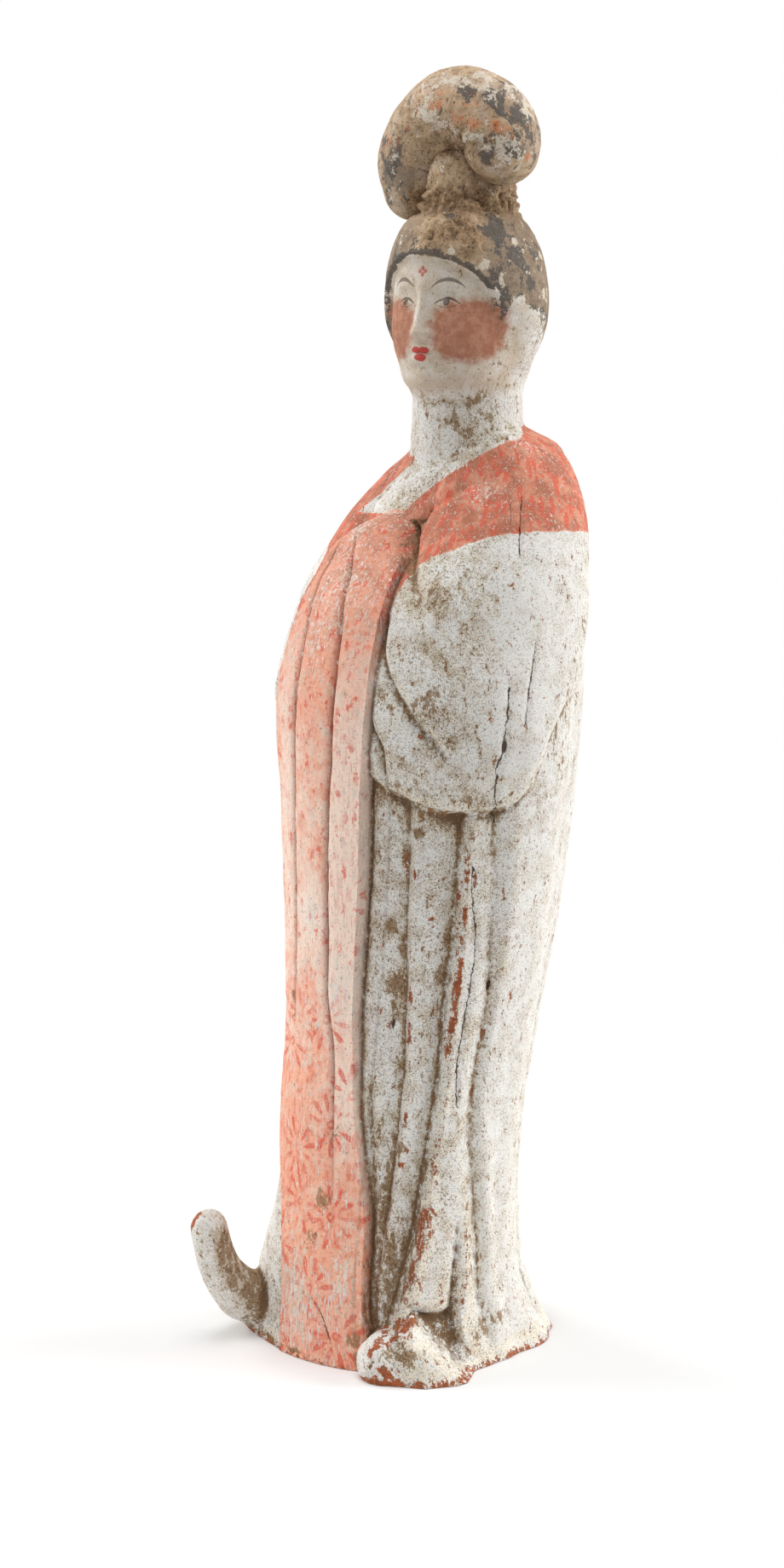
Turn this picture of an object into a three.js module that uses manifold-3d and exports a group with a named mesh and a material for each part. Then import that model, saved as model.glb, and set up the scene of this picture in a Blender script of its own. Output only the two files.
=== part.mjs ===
// A tomb attendant of painted pottery: a court lady in a long high-waisted gown, her hands held before
// her chest under a panel of cloth that falls to the ground, with a shawl, wide sleeves and a topknot.
// Millimetres, +Z up, standing on z = 0. She faces -Y, and +X is her own left side.

import * as THREE from 'three';
import { mergeVertices } from 'three/addons/utils/BufferGeometryUtils.js';
import Module from 'manifold-3d';

const wasm = await Module();
wasm.setup();

// The figure's height. Every proportion below is in thousandths of it, and every angle in degrees,
// measured round the figure from its front towards its own left.
const height = 430;
const unit = height / 1000;

// How finely the skins are divided.
const skirtRows = 25;
const sleeveRows = 21;
const headRows = 38;
const sweepRows = 15;
const sweepSides = 16;

// The gown's outline, as [height, distance from the axis] at a few heights.
const gownSide = curve([[0, 126], [30, 114], [67, 106], [130, 101], [195, 103], [256, 107], [349, 119],
    [442, 128], [502, 131], [581, 125], [642, 112], [681, 87], [702, 63], [723, 40]]);
const gownFront = curve([[0, 124], [67, 119], [130, 110], [195, 107], [256, 100], [349, 97],
    [442, 97], [502, 99], [581, 81], [642, 35], [681, 8], [702, -3], [723, -4]]);
const gownBack = curve([[0, 107], [30, 91], [67, 80], [130, 79], [195, 85], [256, 96], [349, 110],
    [442, 118], [502, 120], [581, 120], [642, 115], [681, 115], [702, 114], [723, 84]]);
const gownLean = curve([[0, -5], [195, -3], [349, 1], [502, 5], [642, 11], [681, 15], [702, 18], [723, 12]]);
const gownTop = 723;

// The cloth panel down the front: the angles of its two edges by height, its top and its relief.
const panelLeft = curve([[0, 31.5], [70, 31], [130, 28], [165, 25], [230, 19.7], [296, 16.5],
    [360, 17], [460, 19.2], [570, 21.5], [650, 25]]);
const panelRight = curve([[0, -14], [60, -17.5], [90, -22], [120, -29], [160, -36], [250, -39],
    [340, -44], [460, -46], [600, -46], [650, -50]]);
const panelTop = 656;
const panelTopDrop = 26;
const panelEdge = 0.7;
const panelStep = 9;
const panelGrooves = [
    { share: 0.3, depth: 3, width: 2.2 },
    { share: 0.72, depth: 4, width: 2.2 },
];

// The lower edge of each sleeve, as [angle from the front, height].
const sleeveHem = curve([[0, 463], [20, 463], [38, 449], [55, 437], [74, 452], [90, 488],
    [104, 548], [118, 596], [150, 600], [180, 560]]);
const sleeveStep = 9;
const sleeveBehind = [96, 122];
const sleeveHemRoll = 5;

// Folds of the gown, as the angle of each crease by height, with its depth by height and its width.
const leftFolds = [
    fold([[0, 37], [70, 37], [130, 40.5], [233, 38.5], [330, 37.5], [440, 38]],
        [[0, 8], [120, 9], [300, 7], [450, 6]], 4.5),
    fold([[0, 46], [54, 47.5], [87, 52], [126, 55.6], [200, 58.5], [273, 57], [440, 57.5]],
        [[0, 5], [60, 13], [200, 12], [450, 8]], 4.5),
    fold([[0, 82], [68, 83], [150, 83], [230, 80], [270, 78.9], [340, 77], [440, 69]],
        [[0, 2], [60, 9], [230, 8], [450, 6]], 5),
    fold([[0, 70], [30, 68], [80, 72], [440, 68]], [[0, 1], [30, 8], [80, 5], [110, 0]], 3),
    fold([[0, 100], [440, 96]], [[0, 3], [100, 6], [260, 5], [420, 0]], 8),
];
const rightFolds = [
    fold([[0, 62], [130, 60], [440, 63]], [[0, 5], [140, 9], [450, 6]], 4.5),
    fold([[0, 79], [200, 80], [440, 79]], [[0, 5], [60, 9], [450, 7]], 4.5),
    fold([[0, 98], [440, 96]], [[0, 4], [100, 7], [420, 2]], 7),
];
const backFolds = [
    fold([[0, 128], [440, 130]], [[0, 4], [120, 6], [380, 4], [520, 0]], 7),
    fold([[0, 165], [440, 163]], [[0, 4], [120, 6], [420, 3], [560, 0]], 8),
    fold([[0, -148], [440, -146]], [[0, 4], [120, 6], [400, 4], [540, 0]], 8),
];
const sleeveFolds = [
    fold([[470, 52], [485, 49], [498, 43], [515, 37], [532, 30], [559, 25], [577, 20]],
        [[470, 0], [490, 4], [520, 6], [577, 5], [590, 0]], 5.5),
    fold([[466, 30], [484, 26.5], [495, 24], [512, 20.5]], [[466, 2], [490, 5], [520, 0]], 3),
    fold([[570, 38], [585, 35], [604, 31], [622, 28], [640, 26]],
        [[570, 0], [590, 6], [620, 14], [640, 16], [662, 0]], 5),
];

// The front edge of the outer gown over the left shoe.
const overlap = fold([[40, 50], [70, 52], [105, 56], [140, 59]], [[40, 6], [100, 6], [150, 0]], 5);

// Broad swellings of the body, as [angle, height, spread in angle, spread in height, amount].
const swellings = [
    [68, 505, 34, 70, 8],
    [-76, 505, 30, 70, 6],
    [58, 628, 24, 34, 7],
    [-70, 625, 24, 30, 2],
    [-8, 632, 17, 16, 5],
    [-54, 0, 20, 110, 13],
    [51, 4, 12, 42, 17],
    [95, 0, 18, 30, -9],
];

// The head: its axis, its turn to its own left, and its outline with the neck, by height.
const headCentre = new THREE.Vector2(12, 42.5);
const headTurn = 8;
const headSide = curve([[670, 40], [700, 45], [722, 43.5], [738, 43], [747, 44], [756, 48],
    [766, 50.5], [780, 55], [797, 58], [816, 57.5], [835, 55], [851, 52], [865, 47], [879, 37], [888, 16]]);
const headFront = curve([[670, 30], [700, 43], [722, 42], [738, 42], [747, 48], [754, 54],
    [766, 57], [780, 59], [797, 58.5], [816, 57.5], [835, 58], [851, 57.5], [865, 54], [879, 44], [888, 16]]);
const headBack = curve([[670, 44], [700, 47], [722, 45], [738, 43.5], [747, 43], [756, 43],
    [768, 44], [782, 49], [800, 56], [820, 59], [835, 58.5], [851, 55], [865, 48], [879, 38], [888, 16]]);
const headBottom = 670;
const headTop = 888;

// The hair lies on the head outside an oval left open for the face.
const faceCentre = 795;
const faceHeight = 57;
const faceWidth = 61;
const jawWidening = 0.4;
const hairThickness = 5;
const napeHeight = [738, 750];

// The face's own forms, as [sideways, height, half-width, half-height, amount]; pairs are mirrored.
const faceForms = [
    [0, 778, 15, 12, 2],
    [0, 780.6, 8, 2.2, 2.4],
    [0, 774.2, 7, 2.6, 2.6],
    [0, 777.6, 10, 1, -1.6],
    [0, 768, 10, 3, -1.6],
    [0, 760, 11, 7, 3],
];
const pairedForms = [
    [6, 792, 3.4, 3.2, 2.6],
    [21, 818, 12, 6.5, -3.4],
    [20.5, 815.5, 8.5, 4, 3.2],
    [20, 829, 13, 3, 1.2],
    [31, 793, 16, 16, 2.4],
];
const noseHeight = curve([[785, 0], [789, 5], [794, 9.5], [803, 7.5], [815, 4.6], [826, 2.6], [838, 0]]);
const noseWidth = curve([[785, 7], [795, 6.6], [815, 4.6], [838, 6]]);
const faceArc = 58;

// The topknot: an arch of hair across the head on a tapering stalk, with a knot in front of it. The
// ends of the arch are tucked in towards the stalk.
const archOffset = new THREE.Vector2(-1, 6);
const archPath = [[-44, 904], [-45, 922], [-27, 942], [0, 967], [28, 951], [36, 934], [35, 925]];
const archThickness = curve([[0, 24], [0.18, 28], [0.5, 38], [0.82, 31], [1, 27]]);
const archDepth = curve([[0, 24], [0.18, 30], [0.5, 34], [0.82, 33], [1, 27]]);
const archEnd = 0.12;
const archTuck = 0.82;
const stalk = { offset: new THREE.Vector2(0, -5), bottom: 866, top: 972, wide: 40, narrow: 31 };
const knot = { offset: new THREE.Vector2(-1, 17), bottom: 872, top: 962, wide: 29 };

// The shoes: the right one whole, with its toe curled up, and the left one broken off short.
const rightShoe = {
    path: [[-76, -56, 22], [-82, -88, 23], [-84, -108, 30], [-84, -125, 44], [-84, -138, 62], [-83, -146, 82],
        [-82, -152, 109]],
    radius: curve([[0, 27], [0.3, 24], [0.6, 17], [1, 13.5]]),
    end: 0.1,
};
const leftShoe = {
    path: [[50, -46, 22], [60, -76, 22], [70, -102, 21], [78, -126, 19]],
    radius: curve([[0, 28], [0.7, 26], [1, 23]]),
    end: 0.16,
};

// A smooth curve through a few [place, value] points, level beyond its ends.
function curve(points) {
    const rise = (i) => (points[i + 1][1] - points[i][1]) / (points[i + 1][0] - points[i][0]);
    const last = points.length - 1;
    const slopes = points.map((point, i) => {
        const before = rise(Math.max(i - 1, 0));
        const after = rise(Math.min(i, last - 1));
        return before * after <= 0 ? 0 : 2 * before * after / (before + after);
    });
    return (place) => {
        if (place <= points[0][0]) return points[0][1];
        if (place >= points[last][0]) return points[last][1];
        const i = points.findIndex((point) => point[0] > place) - 1;
        const span = points[i + 1][0] - points[i][0];
        const t = (place - points[i][0]) / span;
        const bend = (1 - t) * slopes[i] - t * slopes[i + 1];
        const tilt = rise(i);
        return points[i][1] + span * t * (tilt + (1 - t) * (bend + (2 * t - 1) * tilt));
    };
}

function fold(path, depth, width) {
    return { path: curve(path), depth: curve(depth), width };
}

// Rises smoothly from 0 at one value to 1 at another, in either direction.
function ease(from, to, value) {
    const share = THREE.MathUtils.clamp((value - from) / (to - from), 0, 1);
    return share * share * (3 - 2 * share);
}

function bump(offset, spread) {
    return Math.exp(-((offset / spread) ** 2));
}

function crease({ path, depth, width }, angle, z) {
    return depth(z) / (1 + ((angle - path(z)) / width) ** 2);
}

// The radius of an oval with one half-width and a half-depth, in the direction of an angle.
function oval(side, deep, angle) {
    const turn = THREE.MathUtils.degToRad(angle);
    return 1 / Math.hypot(Math.sin(turn) / side, Math.cos(turn) / deep);
}

// How far the panel covers a place, from 0 beside it to 1 on it.
function panelCover(angle, z) {
    const middle = (panelLeft(z) + panelRight(z)) / 2;
    const half = (panelLeft(z) - panelRight(z)) / 2;
    const across = ease(half + panelEdge, half - panelEdge, Math.abs(angle - middle));
    const top = panelTop - panelTopDrop * ((angle - middle) / half) ** 2;
    return across * ease(top + 6, top - 6, z);
}

function panelRelief(angle, z) {
    const width = panelLeft(z) - panelRight(z);
    let depth = 0;
    for (const groove of panelGrooves) {
        const line = panelRight(z) + groove.share * width;
        depth += groove.depth / (1 + ((angle - line) / groove.width) ** 2);
    }
    return -depth;
}

// The cloth beside the panel: deepest along the panel's edge, with folds below the sleeves.
function clothRelief(angle, z) {
    const left = angle > (panelLeft(z) + panelRight(z)) / 2;
    const beside = Math.max(left ? angle - panelLeft(z) : panelRight(z) - angle, 0);
    const around = Math.abs(angle);
    const hem = sleeveHem(around);
    const sleeve = ease(hem - 3, hem + 3, z) * ease(sleeveBehind[1], sleeveBehind[0], around);
    const front = ease(128, 96, around);
    const valley = panelStep * Math.exp(-beside / 9) * (left ? 1 : ease(50, 190, z));
    let skirt = -front * sleeveStep * ease(150, 420, z) - 2;
    for (const line of left ? leftFolds : rightFolds) {
        skirt -= crease(line, around, z);
    }
    let arm = -sleeveHemRoll * (1 - ease(hem, hem + 26, z));
    for (const line of sleeveFolds) {
        arm -= crease(line, left ? around : around - 20, z);
    }
    if (left) skirt += crease(overlap, angle, z);
    return sleeve * arm + (1 - sleeve) * skirt * front - valley * ease(700, 640, z);
}

function gownRelief(angle, z) {
    const cover = panelCover(angle, z);
    const shade = Math.max(ease(-60, -90, angle), ease(100, 116, angle));
    let relief = cover * panelRelief(angle, z) + (1 - cover) * clothRelief(angle, z) * ease(723, 670, z);
    for (const line of backFolds) {
        const around = line.path(z) < 0 && angle > 0 ? angle - 360 : angle;
        relief -= shade * crease(line, around, z);
    }
    for (const [turn, level, spread, tall, amount] of swellings) {
        relief += amount * bump(angle - turn, spread) * bump(z - level, tall);
    }
    return relief;
}

// The gown's centre line and its surface point at an angle and a height.
function gownPoint(angle, z) {
    const middle = (gownBack(z) - gownFront(z)) / 2;
    const deep = (gownBack(z) + gownFront(z)) / 2;
    const radius = oval(gownSide(z), deep, angle) + gownRelief(angle, z);
    const turn = THREE.MathUtils.degToRad(angle);
    return new THREE.Vector3(gownLean(z) + radius * Math.sin(turn), middle - radius * Math.cos(turn), z);
}

// A closed skin over rings of points, each ring level or swept, with a point closing each end.
function skin(rings) {
    const count = rings[0].length;
    const ends = [rings[0], rings[rings.length - 1]].map((ring) => {
        const sum = ring.reduce((total, point) => total.add(point), new THREE.Vector3());
        return sum.divideScalar(count);
    });
    const points = [...rings.flat(), ...ends];
    const first = points.length - 2;
    const top = (rings.length - 1) * count;
    const faces = [];
    for (let j = 0; j < count; j += 1) {
        const next = (j + 1) % count;
        for (let i = 0; i < rings.length - 1; i += 1) {
            const low = i * count;
            const high = low + count;
            faces.push(low + j, low + next, high + next);
            faces.push(low + j, high + next, high + j);
        }
        faces.push(first, next, j);
        faces.push(first + 1, top + j, top + next);
    }
    const geometry = new THREE.BufferGeometry().setFromPoints(points);
    geometry.setIndex(faces);
    return geometry;
}

function solid(geometry) {
    geometry.deleteAttribute('normal');
    geometry.deleteAttribute('uv');
    const merged = mergeVertices(geometry);
    return new wasm.Manifold(new wasm.Mesh({
        numProp: 3,
        vertProperties: Float32Array.from(merged.attributes.position.array),
        triVerts: Uint32Array.from(merged.index.array),
    }));
}

// The angles of the gown's columns at a height: each edge and crease has columns of its own.
function gownColumns(z) {
    const left = panelLeft(z);
    const right = panelRight(z);
    const grooves = panelGrooves.map((groove) => right + groove.share * (left - right));
    const lines = [right - panelEdge, right + panelEdge];
    for (const groove of grooves) {
        lines.push(groove - 5, groove - 1.6, groove + 1.6, groove + 5);
    }
    lines.push(left - panelEdge, left + panelEdge);
    for (const line of leftFolds.slice(0, 3)) {
        const angle = line.path(z);
        lines.push((lines[lines.length - 1] + angle - 3.2) / 2, angle - 3.2, angle, angle + 3.2);
    }
    lines.push(92, 101, 110, 119, 128, 138, 148, 157, 165, 174, 184, 194, 204, 212, 221, 231, 241, 251);
    for (const line of rightFolds.slice().reverse()) {
        const angle = 360 - line.path(z);
        lines.push(angle - 3.5, angle, angle + 3.5);
    }
    return lines;
}

// The heights of the gown's rows in a column: they follow the hem of the sleeves.
function gownRows(angle) {
    const around = Math.abs(THREE.MathUtils.euclideanModulo(angle + 180, 360) - 180);
    const hem = sleeveHem(around);
    const rows = [];
    for (let i = 0; i < skirtRows; i += 1) {
        rows.push((hem - 3) * (i / (skirtRows - 1)) ** 0.94);
    }
    for (let i = 0; i < sleeveRows; i += 1) {
        const share = i / (sleeveRows - 1);
        rows.push(hem + 3 + (gownTop - hem - 3) * (1 - (1 - share) ** 1.35));
    }
    return rows;
}

function gown() {
    const guide = gownColumns(sleeveHem(40));
    const columns = guide.map((angle) => gownRows(angle));
    const rings = columns[0].map((unused, i) => columns.map((rows, j) => {
        const angle = gownColumns(rows[i])[j];
        return gownPoint(angle > 180 ? angle - 360 : angle, rows[i]);
    }));
    return skin(rings);
}

// How far a place on the head is outside the face's oval: 1 on its edge.
function beyondFace(angle, z) {
    const below = Math.max(faceCentre - z, 0);
    const above = Math.max(z - faceCentre, 0);
    return Math.hypot(angle / (faceWidth + jawWidening * below), above / faceHeight);
}

function faceRelief(angle, z) {
    const across = THREE.MathUtils.degToRad(angle) * faceArc;
    let relief = noseHeight(z) * bump(across, noseWidth(z));
    for (const [, level, wide, tall, amount] of faceForms) {
        relief += amount * bump(across, wide) * bump(z - level, tall);
    }
    for (const [side, level, wide, tall, amount] of pairedForms) {
        relief += amount * bump(Math.abs(across) - side, wide) * bump(z - level, tall);
    }
    return relief;
}

// Turns a place beside and before the head's axis, at a height, into the figure's frame.
function onHead(side, forward, z) {
    const turn = THREE.MathUtils.degToRad(headTurn);
    const x = headCentre.x + side * Math.cos(turn) + forward * Math.sin(turn);
    const y = headCentre.y + side * Math.sin(turn) - forward * Math.cos(turn);
    return new THREE.Vector3(x, y, z);
}

function headPoint(angle, z) {
    const deep = Math.abs(angle) < 90 ? headFront(z) : headBack(z);
    const hair = ease(0.95, 1.05, beyondFace(angle, z)) * ease(napeHeight[0], napeHeight[1], z);
    const open = ease(90, 60, Math.abs(angle));
    const radius = oval(headSide(z), deep, angle) + hair * hairThickness + (1 - hair) * open * faceRelief(angle, z);
    const turn = THREE.MathUtils.degToRad(angle);
    return onHead(radius * Math.sin(turn), radius * Math.cos(turn), z);
}

function head() {
    const angles = [];
    for (let angle = -66; angle <= 66; angle += 5.5) {
        angles.push(angle);
    }
    for (let angle = 78; angle < 290; angle += 13.5) {
        angles.push(angle > 180 ? angle - 360 : angle);
    }
    const rings = [];
    for (let i = 0; i < headRows; i += 1) {
        const z = headBottom + (headTop - headBottom) * (1 - (1 - i / (headRows - 1)) ** 1.12);
        rings.push(angles.map((angle) => headPoint(angle, z)));
    }
    return skin(rings);
}

// Rings swept along a path, level with a fixed direction; the ends are drawn in to round them.
function sweep(points, across, thickness, depth, ends) {
    const path = new THREE.CatmullRomCurve3(points, false, 'centripetal');
    const rings = [];
    for (let i = 0; i < sweepRows; i += 1) {
        const share = (1 - Math.cos(Math.PI * i / (sweepRows - 1))) / 2;
        const along = path.getTangentAt(share);
        const out = new THREE.Vector3().crossVectors(along, across).normalize();
        const near = Math.min(share / ends[0], (1 - share) / ends[1], 1);
        const draw = Math.max(Math.sqrt(1 - (1 - near) ** 2), 0.12);
        const ring = [];
        for (let j = 0; j < sweepSides; j += 1) {
            const turn = 2 * Math.PI * j / sweepSides;
            const point = path.getPointAt(share);
            point.addScaledVector(across, depth(share) * draw * Math.cos(turn));
            point.addScaledVector(out, thickness(share) * draw * Math.sin(turn));
            ring.push(point);
        }
        rings.push(ring);
    }
    return skin(rings);
}

function arch() {
    const points = archPath.map(([side, z]) => onHead(archOffset.x + side, archOffset.y, z));
    const end = ([side, z], room) => onHead(archTuck * (archOffset.x + side), archOffset.y, z - room);
    const low = end(archPath[0], archThickness(0));
    const high = end(archPath[archPath.length - 1], archThickness(1));
    const forward = onHead(0, 1, 0).sub(onHead(0, 0, 0));
    return sweep([low, ...points, high], forward, archThickness, archDepth, [archEnd, archEnd]);
}

// A round form standing on the head, wide below and drawn in above.
function cone({ offset, bottom, top, wide, narrow = 0 }) {
    const rings = [];
    const rows = 7;
    for (let i = 0; i < rows; i += 1) {
        const share = i / (rows - 1);
        const shape = narrow > 0 ? wide + (narrow - wide) * share ** 0.8 : wide * Math.sqrt(1.02 - share ** 2.4);
        const ring = [];
        for (let j = 0; j < sweepSides; j += 1) {
            const turn = 2 * Math.PI * j / sweepSides;
            ring.push(onHead(offset.x + shape * Math.sin(turn), offset.y + shape * Math.cos(turn),
                bottom + (top - bottom) * share));
        }
        rings.push(ring);
    }
    return skin(rings);
}

function shoe({ path, radius, end }) {
    const points = path.map(([x, y, z]) => new THREE.Vector3(x, y, z));
    const across = new THREE.Vector3(1, 0, 0);
    return sweep(points, across, radius, radius, [end, end]);
}

// Everything below the ground is cut away, which leaves one flat underside.
function aboveGround() {
    const room = new THREE.BoxGeometry(1000, 1000, 2000);
    room.translate(0, 0, 1000);
    return solid(room);
}

function figureMesh() {
    let form = solid(gown());
    for (const piece of [head(), arch(), cone(stalk), cone(knot), shoe(rightShoe), shoe(leftShoe)]) {
        form = form.add(solid(piece));
    }
    const result = form.intersect(aboveGround()).getMesh();
    const geometry = new THREE.BufferGeometry();
    geometry.setAttribute('position', new THREE.BufferAttribute(Float32Array.from(result.vertProperties), 3));
    geometry.setIndex(Array.from(result.triVerts));
    geometry.scale(unit, unit, unit);
    const flat = geometry.toNonIndexed();
    flat.computeVertexNormals();
    const slip = new THREE.MeshStandardMaterial({ color: 0xd9cfc0, roughness: 0.88, metalness: 0 });
    const mesh = new THREE.Mesh(flat, slip);
    mesh.name = 'figure';
    return mesh;
}

const attendant = new THREE.Group();
attendant.add(figureMesh());

export default attendant;
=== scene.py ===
import math

import bpy
import numpy as np
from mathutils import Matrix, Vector


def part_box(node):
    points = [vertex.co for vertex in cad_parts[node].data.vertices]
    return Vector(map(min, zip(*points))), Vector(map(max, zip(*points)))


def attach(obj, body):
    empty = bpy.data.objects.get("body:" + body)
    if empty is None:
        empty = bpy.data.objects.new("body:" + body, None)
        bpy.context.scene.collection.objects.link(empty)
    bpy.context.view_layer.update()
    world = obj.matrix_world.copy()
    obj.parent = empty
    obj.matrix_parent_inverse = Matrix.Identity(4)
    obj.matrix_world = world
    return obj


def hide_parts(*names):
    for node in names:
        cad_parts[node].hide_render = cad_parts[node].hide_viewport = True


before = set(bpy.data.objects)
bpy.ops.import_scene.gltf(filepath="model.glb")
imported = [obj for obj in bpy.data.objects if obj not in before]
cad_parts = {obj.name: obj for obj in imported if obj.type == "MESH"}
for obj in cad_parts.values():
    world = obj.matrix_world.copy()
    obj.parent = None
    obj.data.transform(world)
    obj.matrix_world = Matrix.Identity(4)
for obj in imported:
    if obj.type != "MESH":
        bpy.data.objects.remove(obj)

for name in ("Cube", "Light", "Camera"):  # the ones that a new file starts with
    if name in bpy.data.objects:
        bpy.data.objects.remove(bpy.data.objects[name])
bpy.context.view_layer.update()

# The figure's own unit is a thousandth of its height, as in the CAD. Angles are in degrees, from the
# front (-Y) towards the figure's left (+X).
unit = 0.43 / 1000
seed = 7


def curve(points):
    # A smooth curve through a few (place, value) points, level beyond its ends.
    places = np.array([place for place, value in points], float)
    values = np.array([value for place, value in points], float)
    rises = np.diff(values) / np.diff(places)
    before = np.concatenate([rises[:1], rises])
    after = np.concatenate([rises, rises[-1:]])
    total = before + after
    slopes = np.where(before * after <= 0, 0, 2 * before * after / np.where(total == 0, 1, total))

    def at(place):
        inside = np.clip(np.asarray(place, float), places[0], places[-1])
        i = np.clip(np.searchsorted(places, inside, side="right") - 1, 0, len(places) - 2)
        span = places[i + 1] - places[i]
        t = (inside - places[i]) / span
        bend = (1 - t) * slopes[i] - t * slopes[i + 1]
        tilt = rises[i]
        return values[i] + span * t * (tilt + (1 - t) * (bend + (2 * t - 1) * tilt))

    return at


def ease(start, end, value):
    share = np.clip((value - start) / (end - start), 0, 1)
    return share * share * (3 - 2 * share)


def bump(offset, spread):
    return np.exp(-((offset / spread) ** 2))


def spots(table, first, level):
    # The sum of soft spots, each (place, height, spread, tall, amount).
    return sum(amount * bump(first - middle, spread) * bump(level - height, tall)
               for middle, height, spread, tall, amount in table)


def oval(side, deep, angle):
    turn = np.radians(angle)
    return 1 / np.hypot(np.sin(turn) / side, np.cos(turn) / deep)


def valueNoise(points, size, salt):
    # Smooth noise from -1 to 1 that varies over about size.
    places = points / size + salt * 17.31
    cell = np.floor(places).astype(np.int64)
    part = places - cell
    part = part * part * (3 - 2 * part)
    total = np.zeros(len(points))
    for corner in range(8):
        step = np.array([corner & 1, (corner >> 1) & 1, corner >> 2])
        key = cell + step
        mixed = key[:, 0] * 73856093 ^ key[:, 1] * 19349663 ^ key[:, 2] * 83492791 ^ (seed + salt) * 2654435
        mixed = (mixed ^ (mixed >> 13)) * 1274126177 & 0xFFFFFFFF
        mixed = (mixed ^ (mixed >> 16)) * 668265263 & 0xFFFFFFFF
        value = (mixed / 0xFFFFFFFF) * 2 - 1
        share = np.prod(np.where(step == 1, part, 1 - part), axis=1)
        total += value * share
    return total


def layeredNoise(points, size, salt, layers=3):
    total = np.zeros(len(points))
    for i in range(layers):
        total += valueNoise(points, size / 2 ** i, salt + 10 * i) / 2 ** i
    return total


gown = {
    "side": curve([(0, 126), (30, 114), (67, 106), (130, 101), (195, 103), (256, 107), (349, 119),
                   (442, 128), (502, 131), (581, 125), (642, 112), (681, 87), (702, 63), (723, 40)]),
    "front": curve([(0, 124), (67, 119), (130, 110), (195, 107), (256, 100), (349, 97),
                    (442, 97), (502, 99), (581, 81), (642, 35), (681, 8), (702, -3), (723, -4)]),
    "back": curve([(0, 107), (30, 91), (67, 80), (130, 79), (195, 85), (256, 96), (349, 110),
                   (442, 118), (502, 120), (581, 120), (642, 115), (681, 115), (702, 114), (723, 84)]),
    "lean": curve([(0, -5), (195, -3), (349, 1), (502, 5), (642, 11), (681, 15), (702, 18), (723, 12)]),
    "top": 723,
    "skirtRows": 150,
    "sleeveRows": 116,
    "frontSpacing": 0.88,
    "backSpacing": 2.4,
    "rearGuides": (101.0, 128.0, 165.0, 194.0, 231.0, 251.0),  # where columns follow the back's folds
}
panel = {
    "left": curve([(0, 31.5), (70, 31), (107, 30.2), (131, 28.5), (168, 25), (196, 22.2), (235, 19),
                   (278, 16.3), (328, 15.8), (388, 16.3), (442, 16.2), (464, 16.8), (491, 18), (523, 18.8),
                   (556, 18), (587, 17.8), (609, 16.5), (650, 15)]),
    "right": curve([(0, -14), (60, -17.5), (90, -22), (120, -29), (160, -36), (250, -39),
                    (340, -44), (460, -46), (600, -46), (650, -50)]),
    "top": 653,
    "topDrop": 20,
    "leftDrop": 32,
    "edge": 0.7,
    "step": curve([(0, 6), (450, 5.5), (560, 7), (610, 10), (650, 12)]),  # how far it stands out
}
sleeve = {
    "hem": curve([(0, 463), (19, 459), (25, 453), (33, 447), (40, 442), (46, 438.5), (55, 436), (65, 436.5),
                  (72, 438.5), (77, 443), (82, 456), (86, 480), (91, 501), (98, 516), (106, 530), (112, 550),
                  (117, 574), (124, 598), (150, 602), (180, 560)]),
    "step": 9,
    "behind": (114, 138),
    "roll": 5,
}


def fold(path, depth, before, after):
    # A crease: its angle and depth by height, and how wide it is on either side of its deepest line.
    return curve(path), curve(depth), before, after


grooves = [
    fold([(0, -3), (60, -6), (120, -14), (200, -24), (293, -26.4), (349, -27.2), (430, -28), (490, -27),
          (520, -26.2), (549, -28), (583, -32.5), (610, -39), (645, -43)],
         [(250, 0), (300, 2.4), (420, 3.4), (600, 3.4), (640, 0)], 0.8, 1.2),
    fold([(0, 15), (90, 13), (120, 12), (194, 9.8), (248, 5.2), (285, 0), (315, -1.5), (342, -2.5),
          (384, -3), (438, -3), (461, -1.5), (490, -0.5), (520, -0.2), (554, -2.5), (581, -6.5), (603, -12.2),
          (625, -22), (642, -31)],
         [(100, 0), (180, 1.8), (280, 3), (340, 5.6), (600, 6.2), (630, 5), (648, 0)], 0.8, 0.9),
]
leftFolds = [
    fold([(0, 33), (60, 35.5), (109, 38.2), (132, 40), (168, 41.8), (210, 42.6), (251, 41.2), (292, 39.4),
          (333, 37.2), (374, 36.5), (434, 36.2)],
         [(0, 5), (60, 7), (120, 9), (230, 8), (300, 7), (450, 6)], 6.5, 1.3),
    fold([(0, 38), (38, 41), (57, 46), (85, 50.5), (109, 53.5), (133, 55.3), (168, 57.8), (197, 59),
          (224, 59.6), (265, 58.6), (293, 58.2), (334, 58.5), (428, 58.7)],
         [(0, 4), (40, 10), (60, 13), (200, 12), (450, 9)], 7.0, 1.7),
    fold([(0, 84), (45, 85.5), (67, 86.6), (90, 86.2), (110, 85.2), (166, 80.8), (195, 79), (236, 78.2),
          (277, 79), (333, 76), (388, 74), (427, 71.2)],
         [(0, 2), (60, 7), (120, 7), (230, 8), (300, 7), (450, 5)], 5.0, 3.2),
    fold([(0, 66), (35, 68.5), (46, 70.5), (61, 72.8), (75, 73.8), (110, 74.2)],
         [(0, 2), (35, 8), (70, 8), (95, 4), (125, 0)], 2.4, 1.8),
    fold([(190, 87), (232, 85.5), (270, 87), (309, 86.5)],
         [(150, 0), (200, 3.5), (290, 3.5), (350, 0)], 4, 5),
    fold([(0, 100), (440, 96)], [(0, 3), (100, 5), (260, 4), (420, 0)], 8, 8),
    fold([(60, 33), (112, 31.8), (150, 31), (185, 29.0), (239, 24.8)],
         [(40, 0), (100, 6), (190, 6), (255, 0)], 2.2, 1.8),
]
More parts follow.
